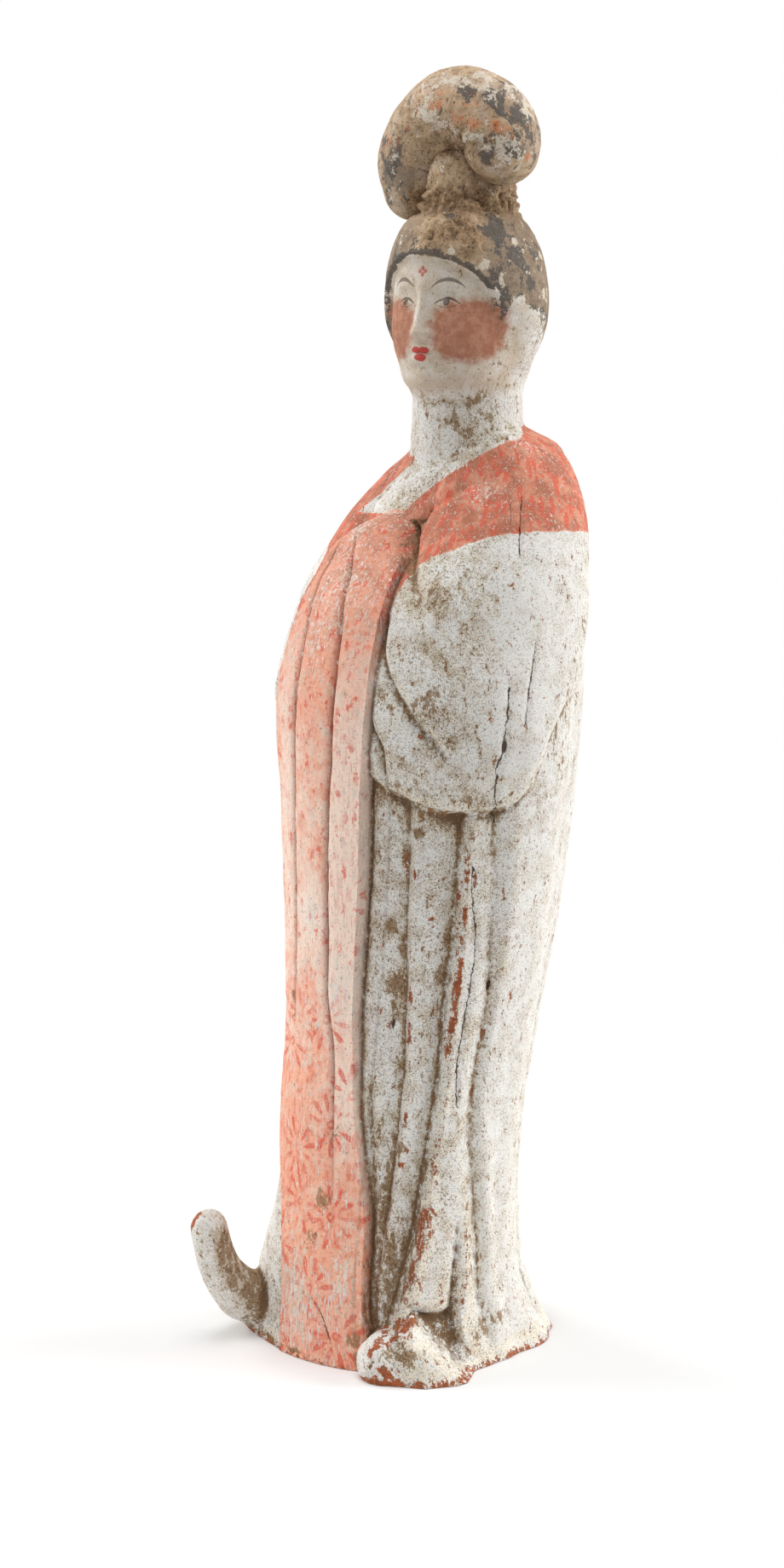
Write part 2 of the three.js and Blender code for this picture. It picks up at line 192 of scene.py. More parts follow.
rightFolds = [
    fold([(0, 62), (130, 60), (440, 63)], [(0, 5), (140, 9), (450, 6)], 7, 2),
    fold([(0, 79), (200, 80), (440, 79)], [(0, 5), (60, 9), (450, 7)], 7, 2.2),
    fold([(0, 98), (440, 96)], [(0, 4), (100, 7), (420, 2)], 7, 5),
]
backFolds = [
    fold([(0, 128), (440, 130)], [(0, 4), (120, 6), (380, 4), (520, 0)], 7, 4),
    fold([(0, 165), (440, 163)], [(0, 4), (120, 6), (420, 3), (560, 0)], 8, 5),
    fold([(0, -148), (440, -146)], [(0, 4), (120, 6), (400, 4), (540, 0)], 5, 8),
]
sleeveFolds = [
    fold([(472, 53), (482, 48.8), (492, 44.8), (504, 39.5), (517, 34.5), (529, 29.8), (542, 25), (556, 21.4),
          (571, 19.8)],
         [(472, 0), (484, 3.5), (500, 6), (530, 7), (570, 7), (588, 0)], 3.6, 1.3),
    fold([(462, 26.3), (469, 26.1), (482, 25.5), (491, 23.1), (502, 19.6), (511, 18.9)],
         [(460, 3), (475, 8), (495, 7), (511, 4), (524, 0)], 2.4, 1.0),
    fold([(580, 36), (590, 32.8), (603, 28.2), (614, 23.6), (620, 20.8), (628, 17.2), (635, 13.5), (641, 8.5),
          (648, 3)],
         [(574, 0), (590, 3.5), (603, 6), (614, 9), (630, 13), (640, 12), (652, 0)], 3.6, 3.4),
]
overlap = fold([(40, 50), (57, 51.5), (71, 53.8), (85, 55.8), (100, 57.8), (114, 59.4), (140, 61)],
               [(40, 5), (100, 4.5), (150, 0)], 1.8, 4)
# Creases that run across: a height by angle, a depth by angle, and the width below and above.
crossFolds = [
    fold([(8, 646), (11.2, 649), (17.8, 659), (30.2, 669), (38.5, 676), (50.8, 682), (58.8, 686), (68, 689)],
         [(6, 0), (11, 4.5), (32, 3.6), (50, 2.2), (68, 0)], 1.8, 6),
    fold([(50, 57), (51, 51), (55.8, 46), (62.2, 42.5), (69, 45), (71, 52)],
         [(49, 0), (52, 7), (66, 7), (72, 0)], 7, 2),
    fold([(-60, 655), (-48, 665), (-35, 681), (-21, 689), (9, 697), (28, 705), (56, 715), (70, 718)],
         [(-60, 0), (-45, 2.6), (50, 2.6), (70, 0)], 1.6, 2.2),
]
# Broad swellings, each (angle, height, spread, tall, amount).
swellings = [
    (68, 505, 34, 70, 8), (-76, 505, 30, 70, 6), (58, 628, 24, 34, 7), (-70, 625, 24, 30, 2),
    (-16, 632, 15, 16, 5), (-54, 0, 20, 110, 13), (95, 0, 18, 30, -9),
]
# The lump where the left shoe is broken off: it starts and is full at these shares of its spread.
stub = {"angle": 50, "spread": 20, "height": 48, "rise": 30, "start": 1.15, "full": 0.6}


def crease(line, angle, z):
    path, depth, before, after = line
    offset = angle - path(z)
    return depth(z) / (1 + (offset / np.where(offset < 0, before, after)) ** 2)


def ledge(line, angle, z):
    # A crease with a raised lip along its steeper side.
    path, depth, before, after = line
    return crease(line, angle, z) - 0.2 * depth(z) * bump(angle - path(z) - 2.2 * after, 1.3 * after)


def stubRelief(angle, z):
    # The broken end of the left shoe, a lump with a slanting edge.
    away = np.abs(angle - stub["angle"]) / stub["spread"] + np.abs(z) / stub["height"]
    return stub["rise"] * ease(stub["start"], stub["full"], away)


def panelTop(angle, z):
    left, right = panel["left"](z), panel["right"](z)
    share = (2 * angle - left - right) / (left - right)
    return panel["top"] - np.where(share > 0, panel["leftDrop"], panel["topDrop"]) * share ** 2


def panelCover(angle, z):
    left, right = panel["left"](z), panel["right"](z)
    middle, half = (left + right) / 2, (left - right) / 2
    across = ease(half + panel["edge"], half - panel["edge"], np.abs(angle - middle))
    top = panelTop(angle, z)
    return across * ease(top + 5, top - 5, z)


def panelRelief(angle, z):
    return -sum(crease(line, angle, z) for line in grooves)


def clothRelief(angle, z):
    onLeft = angle > (panel["left"](z) + panel["right"](z)) / 2
    beside = np.maximum(np.where(onLeft, angle - panel["left"](z), panel["right"](z) - angle), 0)
    around = np.abs(angle)
    hem = sleeve["hem"](around)
    onSleeve = ease(hem - 3, hem + 3, z) * ease(sleeve["behind"][1], sleeve["behind"][0], around)
    front = ease(142, 114, around)
    valley = panel["step"](z) * (0.6 * np.exp(-beside / 2.4) + 0.4 * np.exp(-beside / 9))
    valley = valley * np.where(onLeft, 1, ease(50, 190, z))
    leftSkirt = sum(ledge(line, around, z) for line in leftFolds) - crease(overlap, angle, z)
    rightSkirt = sum(ledge(line, around, z) for line in rightFolds)
    skirt = -front * sleeve["step"] * ease(150, 420, z) - 2 - np.where(onLeft, leftSkirt, rightSkirt)
    arm = -sleeve["roll"] * (1 - ease(hem, hem + 26, z))
    for line in sleeveFolds:
        arm = arm - ledge(line, np.where(onLeft, around, around - 20), z)
    return onSleeve * arm + (1 - onSleeve) * skirt * front - valley * ease(700, 640, z)


def gownRelief(angle, z):
    cover = panelCover(angle, z)
    rear = np.maximum(ease(-60, -90, angle), ease(100, 116, angle))
    relief = cover * panelRelief(angle, z) + (1 - cover) * clothRelief(angle, z) * ease(723, 670, z)
    for line in backFolds:
        behind = np.where((line[0](z) < 0) & (angle > 0), angle - 360, angle)
        relief = relief - rear * crease(line, behind, z)
    relief = relief + spots(swellings, angle, z)
    return relief + stubRelief(angle, z) - sum(crease(line, z, angle) for line in crossFolds)


def gownRadius(angle, z):
    deep = (gown["back"](z) + gown["front"](z)) / 2
    return oval(gown["side"](z), deep, angle) + gownRelief(angle, z)


def gownMiddle(z):
    return (gown["back"](z) - gown["front"](z)) / 2


def gownPlace(angle, z):
    radius = gownRadius(angle, z)
    turn = np.radians(angle)
    return np.stack([gown["lean"](z) + radius * np.sin(turn), gownMiddle(z) - radius * np.cos(turn), z], -1)


def gownGuides():
    # The lines round the gown that its columns follow, each as an angle by height.
    left, right, edge = panel["left"], panel["right"], panel["edge"]
    guides = [lambda z: right(z) - edge - 0.3, lambda z: right(z) + edge + 0.3]
    guides += [line[0] for line in grooves]
    guides += [lambda z: left(z) - edge - 0.3, lambda z: left(z) + edge + 0.3]
    guides += [line[0] for line in leftFolds[:3]]
    guides += [lambda z, angle=angle: np.full(np.shape(z), angle) for angle in gown["rearGuides"]]
    guides += [lambda z, line=line: 360 - line[0](z) for line in rightFolds[::-1]]
    guides.append(lambda z: right(z) - edge - 0.3 + 360)
    return guides


def gownShell():
    guides = gownGuides()
    level = 440.0
    columns = []
    for start, end in zip(guides[:-1], guides[1:]):
        width = float(end(level) - start(level))
        middle = float(start(level) + end(level)) / 2
        spacing = gown["frontSpacing"] if middle < 112 or middle > 300 else gown["backSpacing"]
        count = max(2, round(width / spacing))
        columns += [(start, end, i / count) for i in range(count)]
    low = np.linspace(0, 1, gown["skirtRows"]) ** 0.94
    high = 1 - (1 - np.linspace(0, 1, gown["sleeveRows"])) ** 1.35
    grid = []
    for start, end, share in columns:
        angle = float(start(level) * (1 - share) + end(level) * share)
        around = abs((angle + 180) % 360 - 180)
        hem = float(sleeve["hem"](around))
        z = np.concatenate([(hem - 3) * low, hem + 3 + (gown["top"] - hem - 3) * high])
        line = start(z) * (1 - share) + end(z) * share
        grid.append(gownPlace((line + 180) % 360 - 180, z))
    return np.stack(grid, 1)


head = {
    "centre": (12, 42.5),
    "turn": 8,
    "bottom": 670,
    "top": 888,
    "side": curve([(670, 40), (700, 45), (722, 43.5), (738, 43), (747, 44), (756, 48), (766, 50.5), (780, 55),
                   (797, 58), (816, 57.5), (835, 55), (851, 52), (865, 47), (879, 37), (888, 16)]),
    "front": curve([(670, 30), (700, 43), (722, 42), (738, 42), (747, 48), (754, 54), (766, 57), (780, 59),
                    (797, 58.5), (816, 57.5), (835, 58), (851, 57.5), (865, 54), (879, 44), (888, 16)]),
    "back": curve([(670, 44), (700, 47), (722, 45), (738, 43.5), (747, 43), (756, 43), (768, 44), (782, 49),
                   (800, 56), (820, 59), (835, 58.5), (851, 55), (865, 48), (879, 38), (888, 16)]),
    "hair": 5,
    "sideHair": 4,
    "jawRise": 14,
    "napeLow": curve([(-180, 738), (44, 738), (52, 792), (72, 784), (92, 752), (112, 742), (180, 738)]),
    "napeHigh": curve([(-180, 750), (44, 752), (52, 822), (72, 818), (92, 812), (112, 802), (180, 752)]),
    "arc": 58,
}
face = {
    "centre": 795,
    "height": 57,
    "width": 61,
    "jawWidening": 0.4,
    "forms": [(0, 778, 15, 12, 2), (0, 780.6, 8, 2.2, 2.4), (0, 774.2, 7, 2.6, 2.6), (0, 777.6, 10, 1, -1.6),
              (0, 768, 10, 3, -1.6), (0, 760, 11, 7, 3)],
    "pairs": [(6, 792, 3.4, 3.2, 2.6), (21, 818, 12, 6.5, -3.4), (20.5, 815.5, 8.5, 4, 3.2),
              (20, 829, 13, 3, 1.2), (31, 793, 16, 16, 2.4)],
    "noseHeight": curve([(785, 0), (789, 5), (794, 9.5), (803, 7.5), (815, 4.6), (826, 2.6), (838, 0)]),
    "noseWidth": curve([(785, 7), (795, 6.6), (815, 4.6), (838, 6)]),
}


def beyondFace(angle, z):
    below = np.maximum(face["centre"] - z, 0)
    above = np.maximum(z - face["centre"], 0)
    return np.hypot(angle / (face["width"] + face["jawWidening"] * below), above / face["height"])


def faceRelief(angle, z):
    across = np.radians(angle) * head["arc"]
    nose = face["noseHeight"](z) * bump(across, face["noseWidth"](z))
    return nose + spots(face["forms"], across, z) + spots(face["pairs"], np.abs(across), z)


def onHead(side, forward, z):
    turn = math.radians(head["turn"])
    x = head["centre"][0] + side * math.cos(turn) + forward * math.sin(turn)
    y = head["centre"][1] + side * math.sin(turn) - forward * math.cos(turn)
    return np.stack(np.broadcast_arrays(x, y, z), -1)


def offHead(points):
    # The angle round the head's axis and the distance from it.
    turn = math.radians(head["turn"])
    x = points[:, 0] - head["centre"][0]
    y = points[:, 1] - head["centre"][1]
    side = x * math.cos(turn) + y * math.sin(turn)
    forward = x * math.sin(turn) - y * math.cos(turn)
    return np.degrees(np.arctan2(side, forward)), np.hypot(side, forward)


def hairCover(angle, z):
    return ease(0.96, 1.04, beyondFace(angle, z)) * ease(head["napeLow"](angle), head["napeHigh"](angle), z)


def headRadius(angle, level):
    # The jaw rises from the chin towards the ears.
    z = level - head["jawRise"] * bump(np.abs(angle) - 88, 34) * ease(835, 790, level) * ease(700, 735, level)
    deep = np.where(np.abs(angle) < 90, head["front"](z), head["back"](z))
    hair = hairCover(angle, level)
    thick = head["hair"] + head["sideHair"] * bump(np.abs(angle) - 78, 30) * bump(level - 830, 34)
    open_ = ease(90, 60, np.abs(angle))
    return oval(head["side"](z), deep, angle) + hair * thick + (1 - hair) * open_ * faceRelief(angle, level)


def headShell():
    near = np.arange(-72, 72, 1.35)
    far = np.linspace(72, 288, 44, endpoint=False)
    angles = np.concatenate([near, far])
    angles = (angles + 180) % 360 - 180
    levels = np.concatenate([np.linspace(head["bottom"], 745, 22, endpoint=False),
                             np.linspace(745, 842, 68, endpoint=False),
                             842 + (head["top"] - 842) * (1 - (1 - np.linspace(0, 1, 32)) ** 1.15)])
    angle, z = np.meshgrid(angles, levels)
    radius = headRadius(angle, z)
    turn = np.radians(angle)
    return onHead(radius * np.sin(turn), radius * np.cos(turn), z)


arch = {
    "offset": (-1, 6),
    "path": [(-41, 904), (-43, 922), (-27, 944), (0, 958), (27, 952), (37, 940), (37, 931)],
    "thickness": curve([(0, 25), (0.18, 29), (0.5, 38), (0.82, 29), (1, 25)]),
    "depth": curve([(0, 24), (0.18, 30), (0.5, 34), (0.82, 32), (1, 26)]),
    "end": 0.12,
    "tuck": 0.82,
}
stalk = {
    "offset": (0, -6), "bottom": 866, "top": 926,
    "radius": curve([(866, 50), (871, 44), (878, 38.5), (886, 34.5), (896, 33), (926, 33)]),
}
knot = {
    "offset": (1, 19), "bottom": 872, "top": 935,
    "radius": curve([(872, 28), (884, 25), (898, 22), (912, 20), (922, 16.5), (930, 11), (935, 4)]),
}
core = {
    "offset": (0, -3), "bottom": 884, "top": 962,
    "radius": curve([(884, 29), (923, 26), (946, 19), (958, 11), (962, 4)]),
}
rightShoe = {
    "path": [(-76, -56, 22), (-82, -88, 23), (-84, -108, 30), (-84, -125, 44), (-84, -138, 62),
             (-83, -146, 82), (-82, -152, 109)],
    "radius": curve([(0, 27), (0.3, 24), (0.6, 17), (1, 13.5)]),
    "end": 0.1,
}
leftShoe = {
    "path": [(50, -46, 16), (60, -76, 14), (70, -106, 12), (76, -129, 9)],
    "radius": curve([(0, 24), (0.7, 22), (1, 19)]),
    "end": 0.16,
}


def splinePlaces(points, count):
    # A centripetal Catmull-Rom line through the points, resampled evenly by length.
    points = np.array(points, float)
    ends = np.vstack([2 * points[0] - points[1], points, 2 * points[-1] - points[-2]])
    knots = np.concatenate([[0], np.cumsum(np.linalg.norm(np.diff(ends, axis=0), axis=1) ** 0.5)])
    fine = []
    for i in range(1, len(ends) - 2):
        t = np.linspace(knots[i], knots[i + 1], 60, endpoint=False)[:, None]
        t0, t1, t2, t3 = knots[i - 1:i + 3]
        p0, p1, p2, p3 = ends[i - 1:i + 3]
        a1 = (t1 - t) / (t1 - t0) * p0 + (t - t0) / (t1 - t0) * p1
        a2 = (t2 - t) / (t2 - t1) * p1 + (t - t1) / (t2 - t1) * p2
        a3 = (t3 - t) / (t3 - t2) * p2 + (t - t2) / (t3 - t2) * p3
        b1 = (t2 - t) / (t2 - t0) * a1 + (t - t0) / (t2 - t0) * a2
        b2 = (t3 - t) / (t3 - t1) * a2 + (t - t1) / (t3 - t1) * a3
        fine.append((t2 - t) / (t2 - t1) * b1 + (t - t1) / (t2 - t1) * b2)
    fine = np.vstack(fine + [points[-1:]])
    length = np.concatenate([[0], np.cumsum(np.linalg.norm(np.diff(fine, axis=0), axis=1))])
    shares = (1 - np.cos(np.pi * np.arange(count) / (count - 1))) / 2
    places = np.stack([np.interp(shares * length[-1], length, fine[:, k]) for k in range(3)], 1)
    return shares, places


def sweepShell(points, across, thickness, depth, end, rows, sides):
    shares, places = splinePlaces(points, rows)
    along = np.gradient(places, axis=0)
    along /= np.linalg.norm(along, axis=1)[:, None]
    across = np.array(across, float)
    out = np.cross(along, across)
    out /= np.linalg.norm(out, axis=1)[:, None]
    near = np.minimum(np.minimum(shares / end, (1 - shares) / end), 1)
    draw = np.maximum(np.sqrt(1 - (1 - near) ** 2), 0.05)
    turn = 2 * np.pi * np.arange(sides) / sides
    wide = (depth(shares) * draw)[:, None, None] * np.cos(turn)[None, :, None] * across
    tall = (thickness(shares) * draw)[:, None, None] * np.sin(turn)[None, :, None] * out[:, None, :]
    return places[:, None, :] + wide + tall


def archShell():
    dx, dy = arch["offset"]
    points = [onHead(dx + side, dy, z) for side, z in arch["path"]]
    for place, share in ((0, 0), (len(arch["path"]) - 1, 1)):
        side, z = arch["path"][place]
        end = onHead(arch["tuck"] * (dx + side), dy, z - arch["thickness"](share))
        points.insert(0 if place == 0 else len(points), end)
    forward = onHead(0, 1, 0) - onHead(0, 0, 0)
    return sweepShell(points, forward, arch["thickness"], arch["depth"], arch["end"], 64, 60)


def coneShell(form, rows=40, sides=104):
    z = np.linspace(form["bottom"], form["top"], rows)[:, None]
    wide = form["radius"](z)
    turn = 2 * np.pi * np.arange(sides) / sides
    return onHead(form["offset"][0] + wide * np.sin(turn), form["offset"][1] + wide * np.cos(turn), z)


def shoeShell(shoe):
    return sweepShell(shoe["path"], (1, 0, 0), shoe["radius"], shoe["radius"], shoe["end"], 44, 40)


def closedMesh(name, grid):
    # A closed skin over rings of points, with a point closing each end.
    rows, count = grid.shape[:2]
    places = np.vstack([grid.reshape(-1, 3), grid[0].mean(0), grid[-1].mean(0)]) * unit
    j = np.arange(count)
    following = (j + 1) % count
    faces = []
    for i in range(rows - 1):
        low, high = i * count, (i + 1) * count
        faces += list(zip(low + j, low + following, high + following, high + j))
    last = (rows - 1) * count
    first = len(places) - 2
    faces += list(zip(np.full(count, first), following, j))
    faces += list(zip(np.full(count, first + 1), last + j, last + following))
    mesh = bpy.data.meshes.new(name)
    mesh.from_pydata(places.tolist(), [], [[int(v) for v in f] for f in faces])
    made = bpy.data.objects.new(name, mesh)
    bpy.context.collection.objects.link(made)
    return made


def selectOnly(thing):
    bpy.ops.object.select_all(action="DESELECT")
    thing.select_set(True)
    bpy.context.view_layer.objects.active = thing


def combine(thing, other, operation):
    selectOnly(thing)
    bpy.ops.object.modifier_add(type="BOOLEAN")
    cut = thing.modifiers[-1]
    cut.solver = "MANIFOLD"
    cut.operation = operation
    cut.object = other
    bpy.ops.object.modifier_apply(modifier=cut.name)
    bpy.data.objects.remove(other)


print("shaping the figure")
figure = closedMesh("tomb_attendant", gownShell())
shells = [
    ("head", headShell()), ("arch", archShell()),
    ("stalk", coneShell(stalk)), ("knot", coneShell(knot)), ("core", coneShell(core)),
    ("rightShoe", shoeShell(rightShoe)), ("leftShoe", shoeShell(leftShoe)),
]
for name, grid in shells:
    combine(figure, closedMesh(name, grid), "UNION")
bpy.ops.object.select_all(action="DESELECT")
bpy.ops.mesh.primitive_cube_add(size=1, location=(0, 0, 0.5))
combine(figure, bpy.context.object, "INTERSECT")


def meshArrays(thing):
    mesh = thing.data
    points = np.empty(len(mesh.vertices) * 3)
    mesh.vertices.foreach_get("co", points)
    normals = np.empty(len(mesh.vertices) * 3)
    mesh.vertex_normals.foreach_get("vector", normals)
    return points.reshape(-1, 3) / unit, normals.reshape(-1, 3)


def meshEdges(thing):
    edges = np.empty(len(thing.data.edges) * 2, int)
    thing.data.edges.foreach_get("vertices", edges)
    return edges.reshape(-1, 2)


def neighbourMean(values, edges, count):
    # The mean of each point's neighbours.
    degree = np.bincount(edges.ravel(), minlength=count)
    out = np.empty_like(values)
    for k in range(values.shape[1]):
        total = np.bincount(edges[:, 0], weights=values[edges[:, 1], k], minlength=count)
        total += np.bincount(edges[:, 1], weights=values[edges[:, 0], k], minlength=count)
        out[:, k] = total / np.maximum(degree, 1)
    return out


def setPoints(thing, points):
    thing.data.vertices.foreach_set("co", (points * unit).ravel())
    thing.data.update()


def offGown(points):
    x = points[:, 0] - gown["lean"](points[:, 2])
    y = gownMiddle(points[:, 2]) - points[:, 1]
    return np.degrees(np.arctan2(x, y)), np.hypot(x, y)


unitsPerDegree = 1.95  # the arc of a degree on the gown


def lineDistance(place, z, path, scale=unitsPerDegree):
    # The distance, in units, from a line through a few (place, height) points.
    x = place * scale
    nearest = np.full(len(x), 1e9)
    for (a0, z0), (a1, z1) in zip(path[:-1], path[1:]):
        x0, x1 = a0 * scale, a1 * scale
        span = (x1 - x0) ** 2 + (z1 - z0) ** 2
        t = np.clip(((x - x0) * (x1 - x0) + (z - z0) * (z1 - z0)) / span, 0, 1)
        nearest = np.minimum(nearest, np.hypot(x - x0 - t * (x1 - x0), z - z0 - t * (z1 - z0)))
    return nearest


# The cracks, each as (height, angle) points with its width. Small pits are (angle, height, wide, tall).
cracks = [
    ([(205, 69.5), (211, 68.6), (241, 66.4), (260, 66.8), (279, 67.5), (301, 68), (323, 68.5), (342, 67.8),
      (362, 65.5), (375, 64.4), (393, 63.8)], 1.1),
    ([(427, 71.5), (436, 70), (456, 67), (471, 67), (484, 68.6), (500, 69), (514, 69.5), (533, 70)], 1.0),
    ([(505, 75.8), (519, 76.2), (536, 77.2), (550, 78.2), (565, 79)], 0.7),
    ([(629, 67.8), (641, 67.2), (652, 67), (669, 67.2)], 0.8),
    ([(651, 63.1), (667, 62.2)], 0.4),
    ([(20, 15.5), (23, 14.8), (38, 11), (49, 5.5), (52, 0)], 0.8),
]
pits = [(68.9, 488, 2.0, 7), (66.2, 352, 1.0, 16), (78.8, 297, 1.8, 5), (34.5, 269, 1.8, 5)]
# Where the slip has gone: strips as (angle, height) points with a width, and chips given like pits.
clayStrips = [
    ([(62.4, 320), (62.2, 302), (61.9, 274), (61.2, 264)], 2.6),
    ([(61.1, 257), (61.4, 246)], 2.0),
    ([(61.2, 400), (61.7, 381)], 1.8),
    ([(64.8, 390), (65.3, 378)], 1.3),
    ([(62.0, 361), (62.2, 353)], 2.4),
    ([(35.2, 400), (35.4, 385)], 1.7),
    ([(41.3, 298), (41.9, 287)], 1.6),
    ([(42.3, 272), (43.2, 255)], 1.7),
    ([(45.8, 201), (45.8, 191)], 1.5),
    ([(79.8, 264), (78.8, 256)], 2.2),
    ([(78.0, 243), (78.4, 233)], 1.6),
    ([(78.5, 218), (78.8, 211)], 1.3),
    ([(58.4, 131), (57.2, 118)], 2.0),
    ([(58.2, 130), (56.8, 118.6), (55.4, 107.4), (54, 96.6), (52.8, 86), (51.4, 75.4), (50.2, 66)], 1.7),
]
clayChips = [
    (41.2, 319, 3.0, 3.4), (91.2, 288, 2.6, 3.6), (28, 278, 2, 4), (22, 303, 1.6, 1.6),
    (19.2, 292, 2, 1.6), (26.2, 289, 1.4, 1.4), (31, 173, 2, 5), (45, 160, 4, 1.6), (62, 168, 3, 2.2),
    (41.8, 433, 2.4, 2.4), (23.5, 431, 2.4, 2.0), (49.2, 347, 3, 1.6), (39.8, 386, 1.2, 6),
    (59.8, 370, 1.2, 4), (57.7, 530, 2.2, 2.2), (41.3, 522, 1.6, 1.6), (64.4, 508, 1.8, 1.8),
    (40.9, 496, 1.8, 1.8), (39.5, 444, 2, 3), (45.3, 436, 2.5, 2.0), (46.5, 518, 1.6, 1.6),
    (50, 434, 2, 2), (33, 268, 1.6, 2), (48, 352, 2.0, 1.2), (26, 330, 1.2, 2), (70, 218, 1.2, 3),
    (56, 240, 1.0, 3), (34, 184, 1.6, 2), (17, 380, 1.0, 4), (47.5, 170, 1.6, 1.6),
]
# Earth on the gown, each (angle, height, spread, tall, amount).
earthSpots = [
    (33.5, 300, 5, 9, 1.5), (30.5, 345, 4, 6, 1.0), (55.2, 335, 3, 6, 1.2), (54.5, 306, 3, 9, 1.4),
    (44.5, 173, 2.5, 6, 1.2), (33, 185, 2, 9, 1.2), (35, 287, 4, 20, 0.7), (79.2, 250, 4.5, 1.6, 1.3),
    (28.8, 346, 3, 5, 0.8), (40.5, 419, 2.5, 4, 1.1), (49.2, 427, 6, 5, 0.8), (34.5, 330, 3, 6, 0.8),
    (49.8, 326, 4, 4, 0.9), (44, 525, 7, 14, 0.75), (43, 514, 6, 8, 0.5), (39, 558, 6, 10, 0.4),
    (53, 554, 9, 14, 0.35), (27.5, 518, 4, 8, 0.6), (23.5, 523, 3, 8, 0.6), (50, 494, 9, 14, 0.4),
    (24, 608, 7, 14, 0.6), (12, 639, 6, 8, 1.1), (19, 624, 6, 9, 1.1), (40, 606, 12, 10, 0.4),
    (52, 600, 12, 12, 0.3), (35, 594, 6, 12, 0.35), (82.5, 75, 1.6, 22, 1.0), (50, 395, 14, 40, 0.12),
    (100, 480, 12, 60, 0.3), (105, 540, 10, 50, 0.3), (46, 446, 22, 5, 0.3), (30, 450, 9, 9, 0.4),
    (66, 442, 9, 5, 0.5), (84, 466, 3, 16, 0.6), (92, 492, 4, 12, 0.6), (102, 514, 4, 12, 0.6),
    (112, 540, 4, 16, 0.6), (117, 574, 4, 18, 0.6), (60, 448, 10, 5, 0.4), (45, 458, 20, 8, 0.25),
    (36, 90, 8, 50, 0.6), (33, 40, 6, 30, 0.7), (44, 78, 6, 34, 0.7), (50, 92, 3, 24, 0.5),
    (86, 29, 6, 7, 0.9), (79, 21, 5, 5, 0.7), (94, 33, 5, 5, 0.8), (23, 195, 2, 20, 0.5),
    (58, 42, 8, 3, 0.7), (27, 20, 4, 16, 0.9), (5.8, 127, 4.5, 11, 1.4), (12.2, 183, 3.5, 6, 1.2),
    (-27, 271, 3, 14, 0.9), (1.5, 97, 4, 8, 1.2), (37, 150, 6, 50, 0.4), (47.5, 19, 3.5, 8, 1.0),
    # The last two are painted shade in the hollow beside the panel's rolled top.
    (6, 641, 6, 7, 0.45), (11, 652, 5, 5, 0.4),
]
# Where the pigment is rubbed down to the slip, where it has paled, and where the slip has a thicker film.
wearSpots = [
    (-5, 30, 16, 26, 0.8), (6, 300, 12, 26, 0.5), (-15, 590, 20, 40, 0.5), (20, 66, 6, 26, 0.9),
    # (-30, 641) is partly wear and partly a painted highlight on the panel's rolled top.
    (-6, 62, 8, 20, 0.8), (8, 290, 6, 16, 0.5), (-14, 347, 7, 14, 0.9), (-30, 641, 9, 9, 0.7),
    (78, 706, 14, 8, 0.6), (48, 673, 10, 9, 0.8),
]
paleSpots = [(-13, 345, 8, 20, 0.9), (-34, 480, 7, 130, 0.35)]
filmSpots = [
    (27, 604, 11, 17, 0.9), (44, 585, 20, 40, 0.5), (40, 462, 26, 24, 0.5), (40, 704, 30, 14, 0.5),
]


def cutCracks(angle, z):
    # The signed offset from the nearest crack, and how near it is.
    side = np.full(len(z), 9.0)
    for path, width in cracks:
        low, high = path[0][0], path[-1][0]
        offset = (angle - curve(path)(z)) * unitsPerDegree
        beyond = np.maximum(np.maximum(low - z, z - high), 0)
        past = np.sign(offset) * np.hypot(offset, beyond * 1.5) + 0.001
        offset = np.where(beyond > 0, past, offset) / width
        side = np.where(np.abs(offset) < np.abs(side), offset, side)
    return np.clip(side, -5, 5), ease(4.5, 3.0, np.abs(side))


hairEdge = curve([(-180, 746), (-90, 750), (-60, 762), (20, 762), (48, 790), (56, 812), (62, 800), (68, 814),
                  (75, 819), (83, 810), (101, 806), (112, 796), (126, 778), (150, 752), (180, 746)])
# Stains on the head, each (angle, height, spread, tall, amount).
headSpots = [
    (36.5, 740, 7, 5, 1.0), (49.5, 746, 6, 5, 0.9), (23, 726, 8, 5, 1.0), (36.5, 714, 8, 6, 1.0),
    (49.5, 729, 7, 5, 0.9), (26, 719, 5, 4, 0.8), (61, 731, 8, 6, 0.8), (21, 761, 4, 5, 0.6),
    (81, 753, 8, 8, 0.7), (100, 733, 8, 8, 0.6), (70, 790, 6, 14, 0.9), (63, 778, 5, 16, 0.8),
    (73, 765, 7, 14, 0.7), (108, 796, 9, 16, 0.9), (84, 806, 6, 5, 0.6), (92, 770, 8, 14, 0.4),
    (60, 752, 10, 8, 0.5), (12, 865, 16, 9, 0.7), (36, 862, 16, 12, 0.8), (24, 875, 20, 7, 0.8),
    (-8, 862, 14, 8, 0.4),
]
# The broken left shoe, seen along its own line: (side, height, wide, tall, amount).
stubClay = [
    (-11, 38, 8, 5.5, 1.3), (-4, 43, 6, 3.5, 1.3), (-8, 33, 2.0, 6, 1.1), (-25, 12, 8, 6, 1.3),
    (-22, 7, 7, 6, 1.3), (-32, 13, 3, 5, 1.0), (-15, 11, 3, 3, 0.9), (-33, 4, 6, 4, 1.1),
    (4, 20, 1.2, 6, 0.9),
]
stubRims = [
    [(-20, 36), (-25.4, 33.4), (-30, 31.3), (-34, 27.9), (-37, 22)],
    [(-31, 28.5), (-26, 30.5), (-20, 30), (-14, 32)],
]
stubFace = {"middle": (-17, 10), "half": (21, 19)}
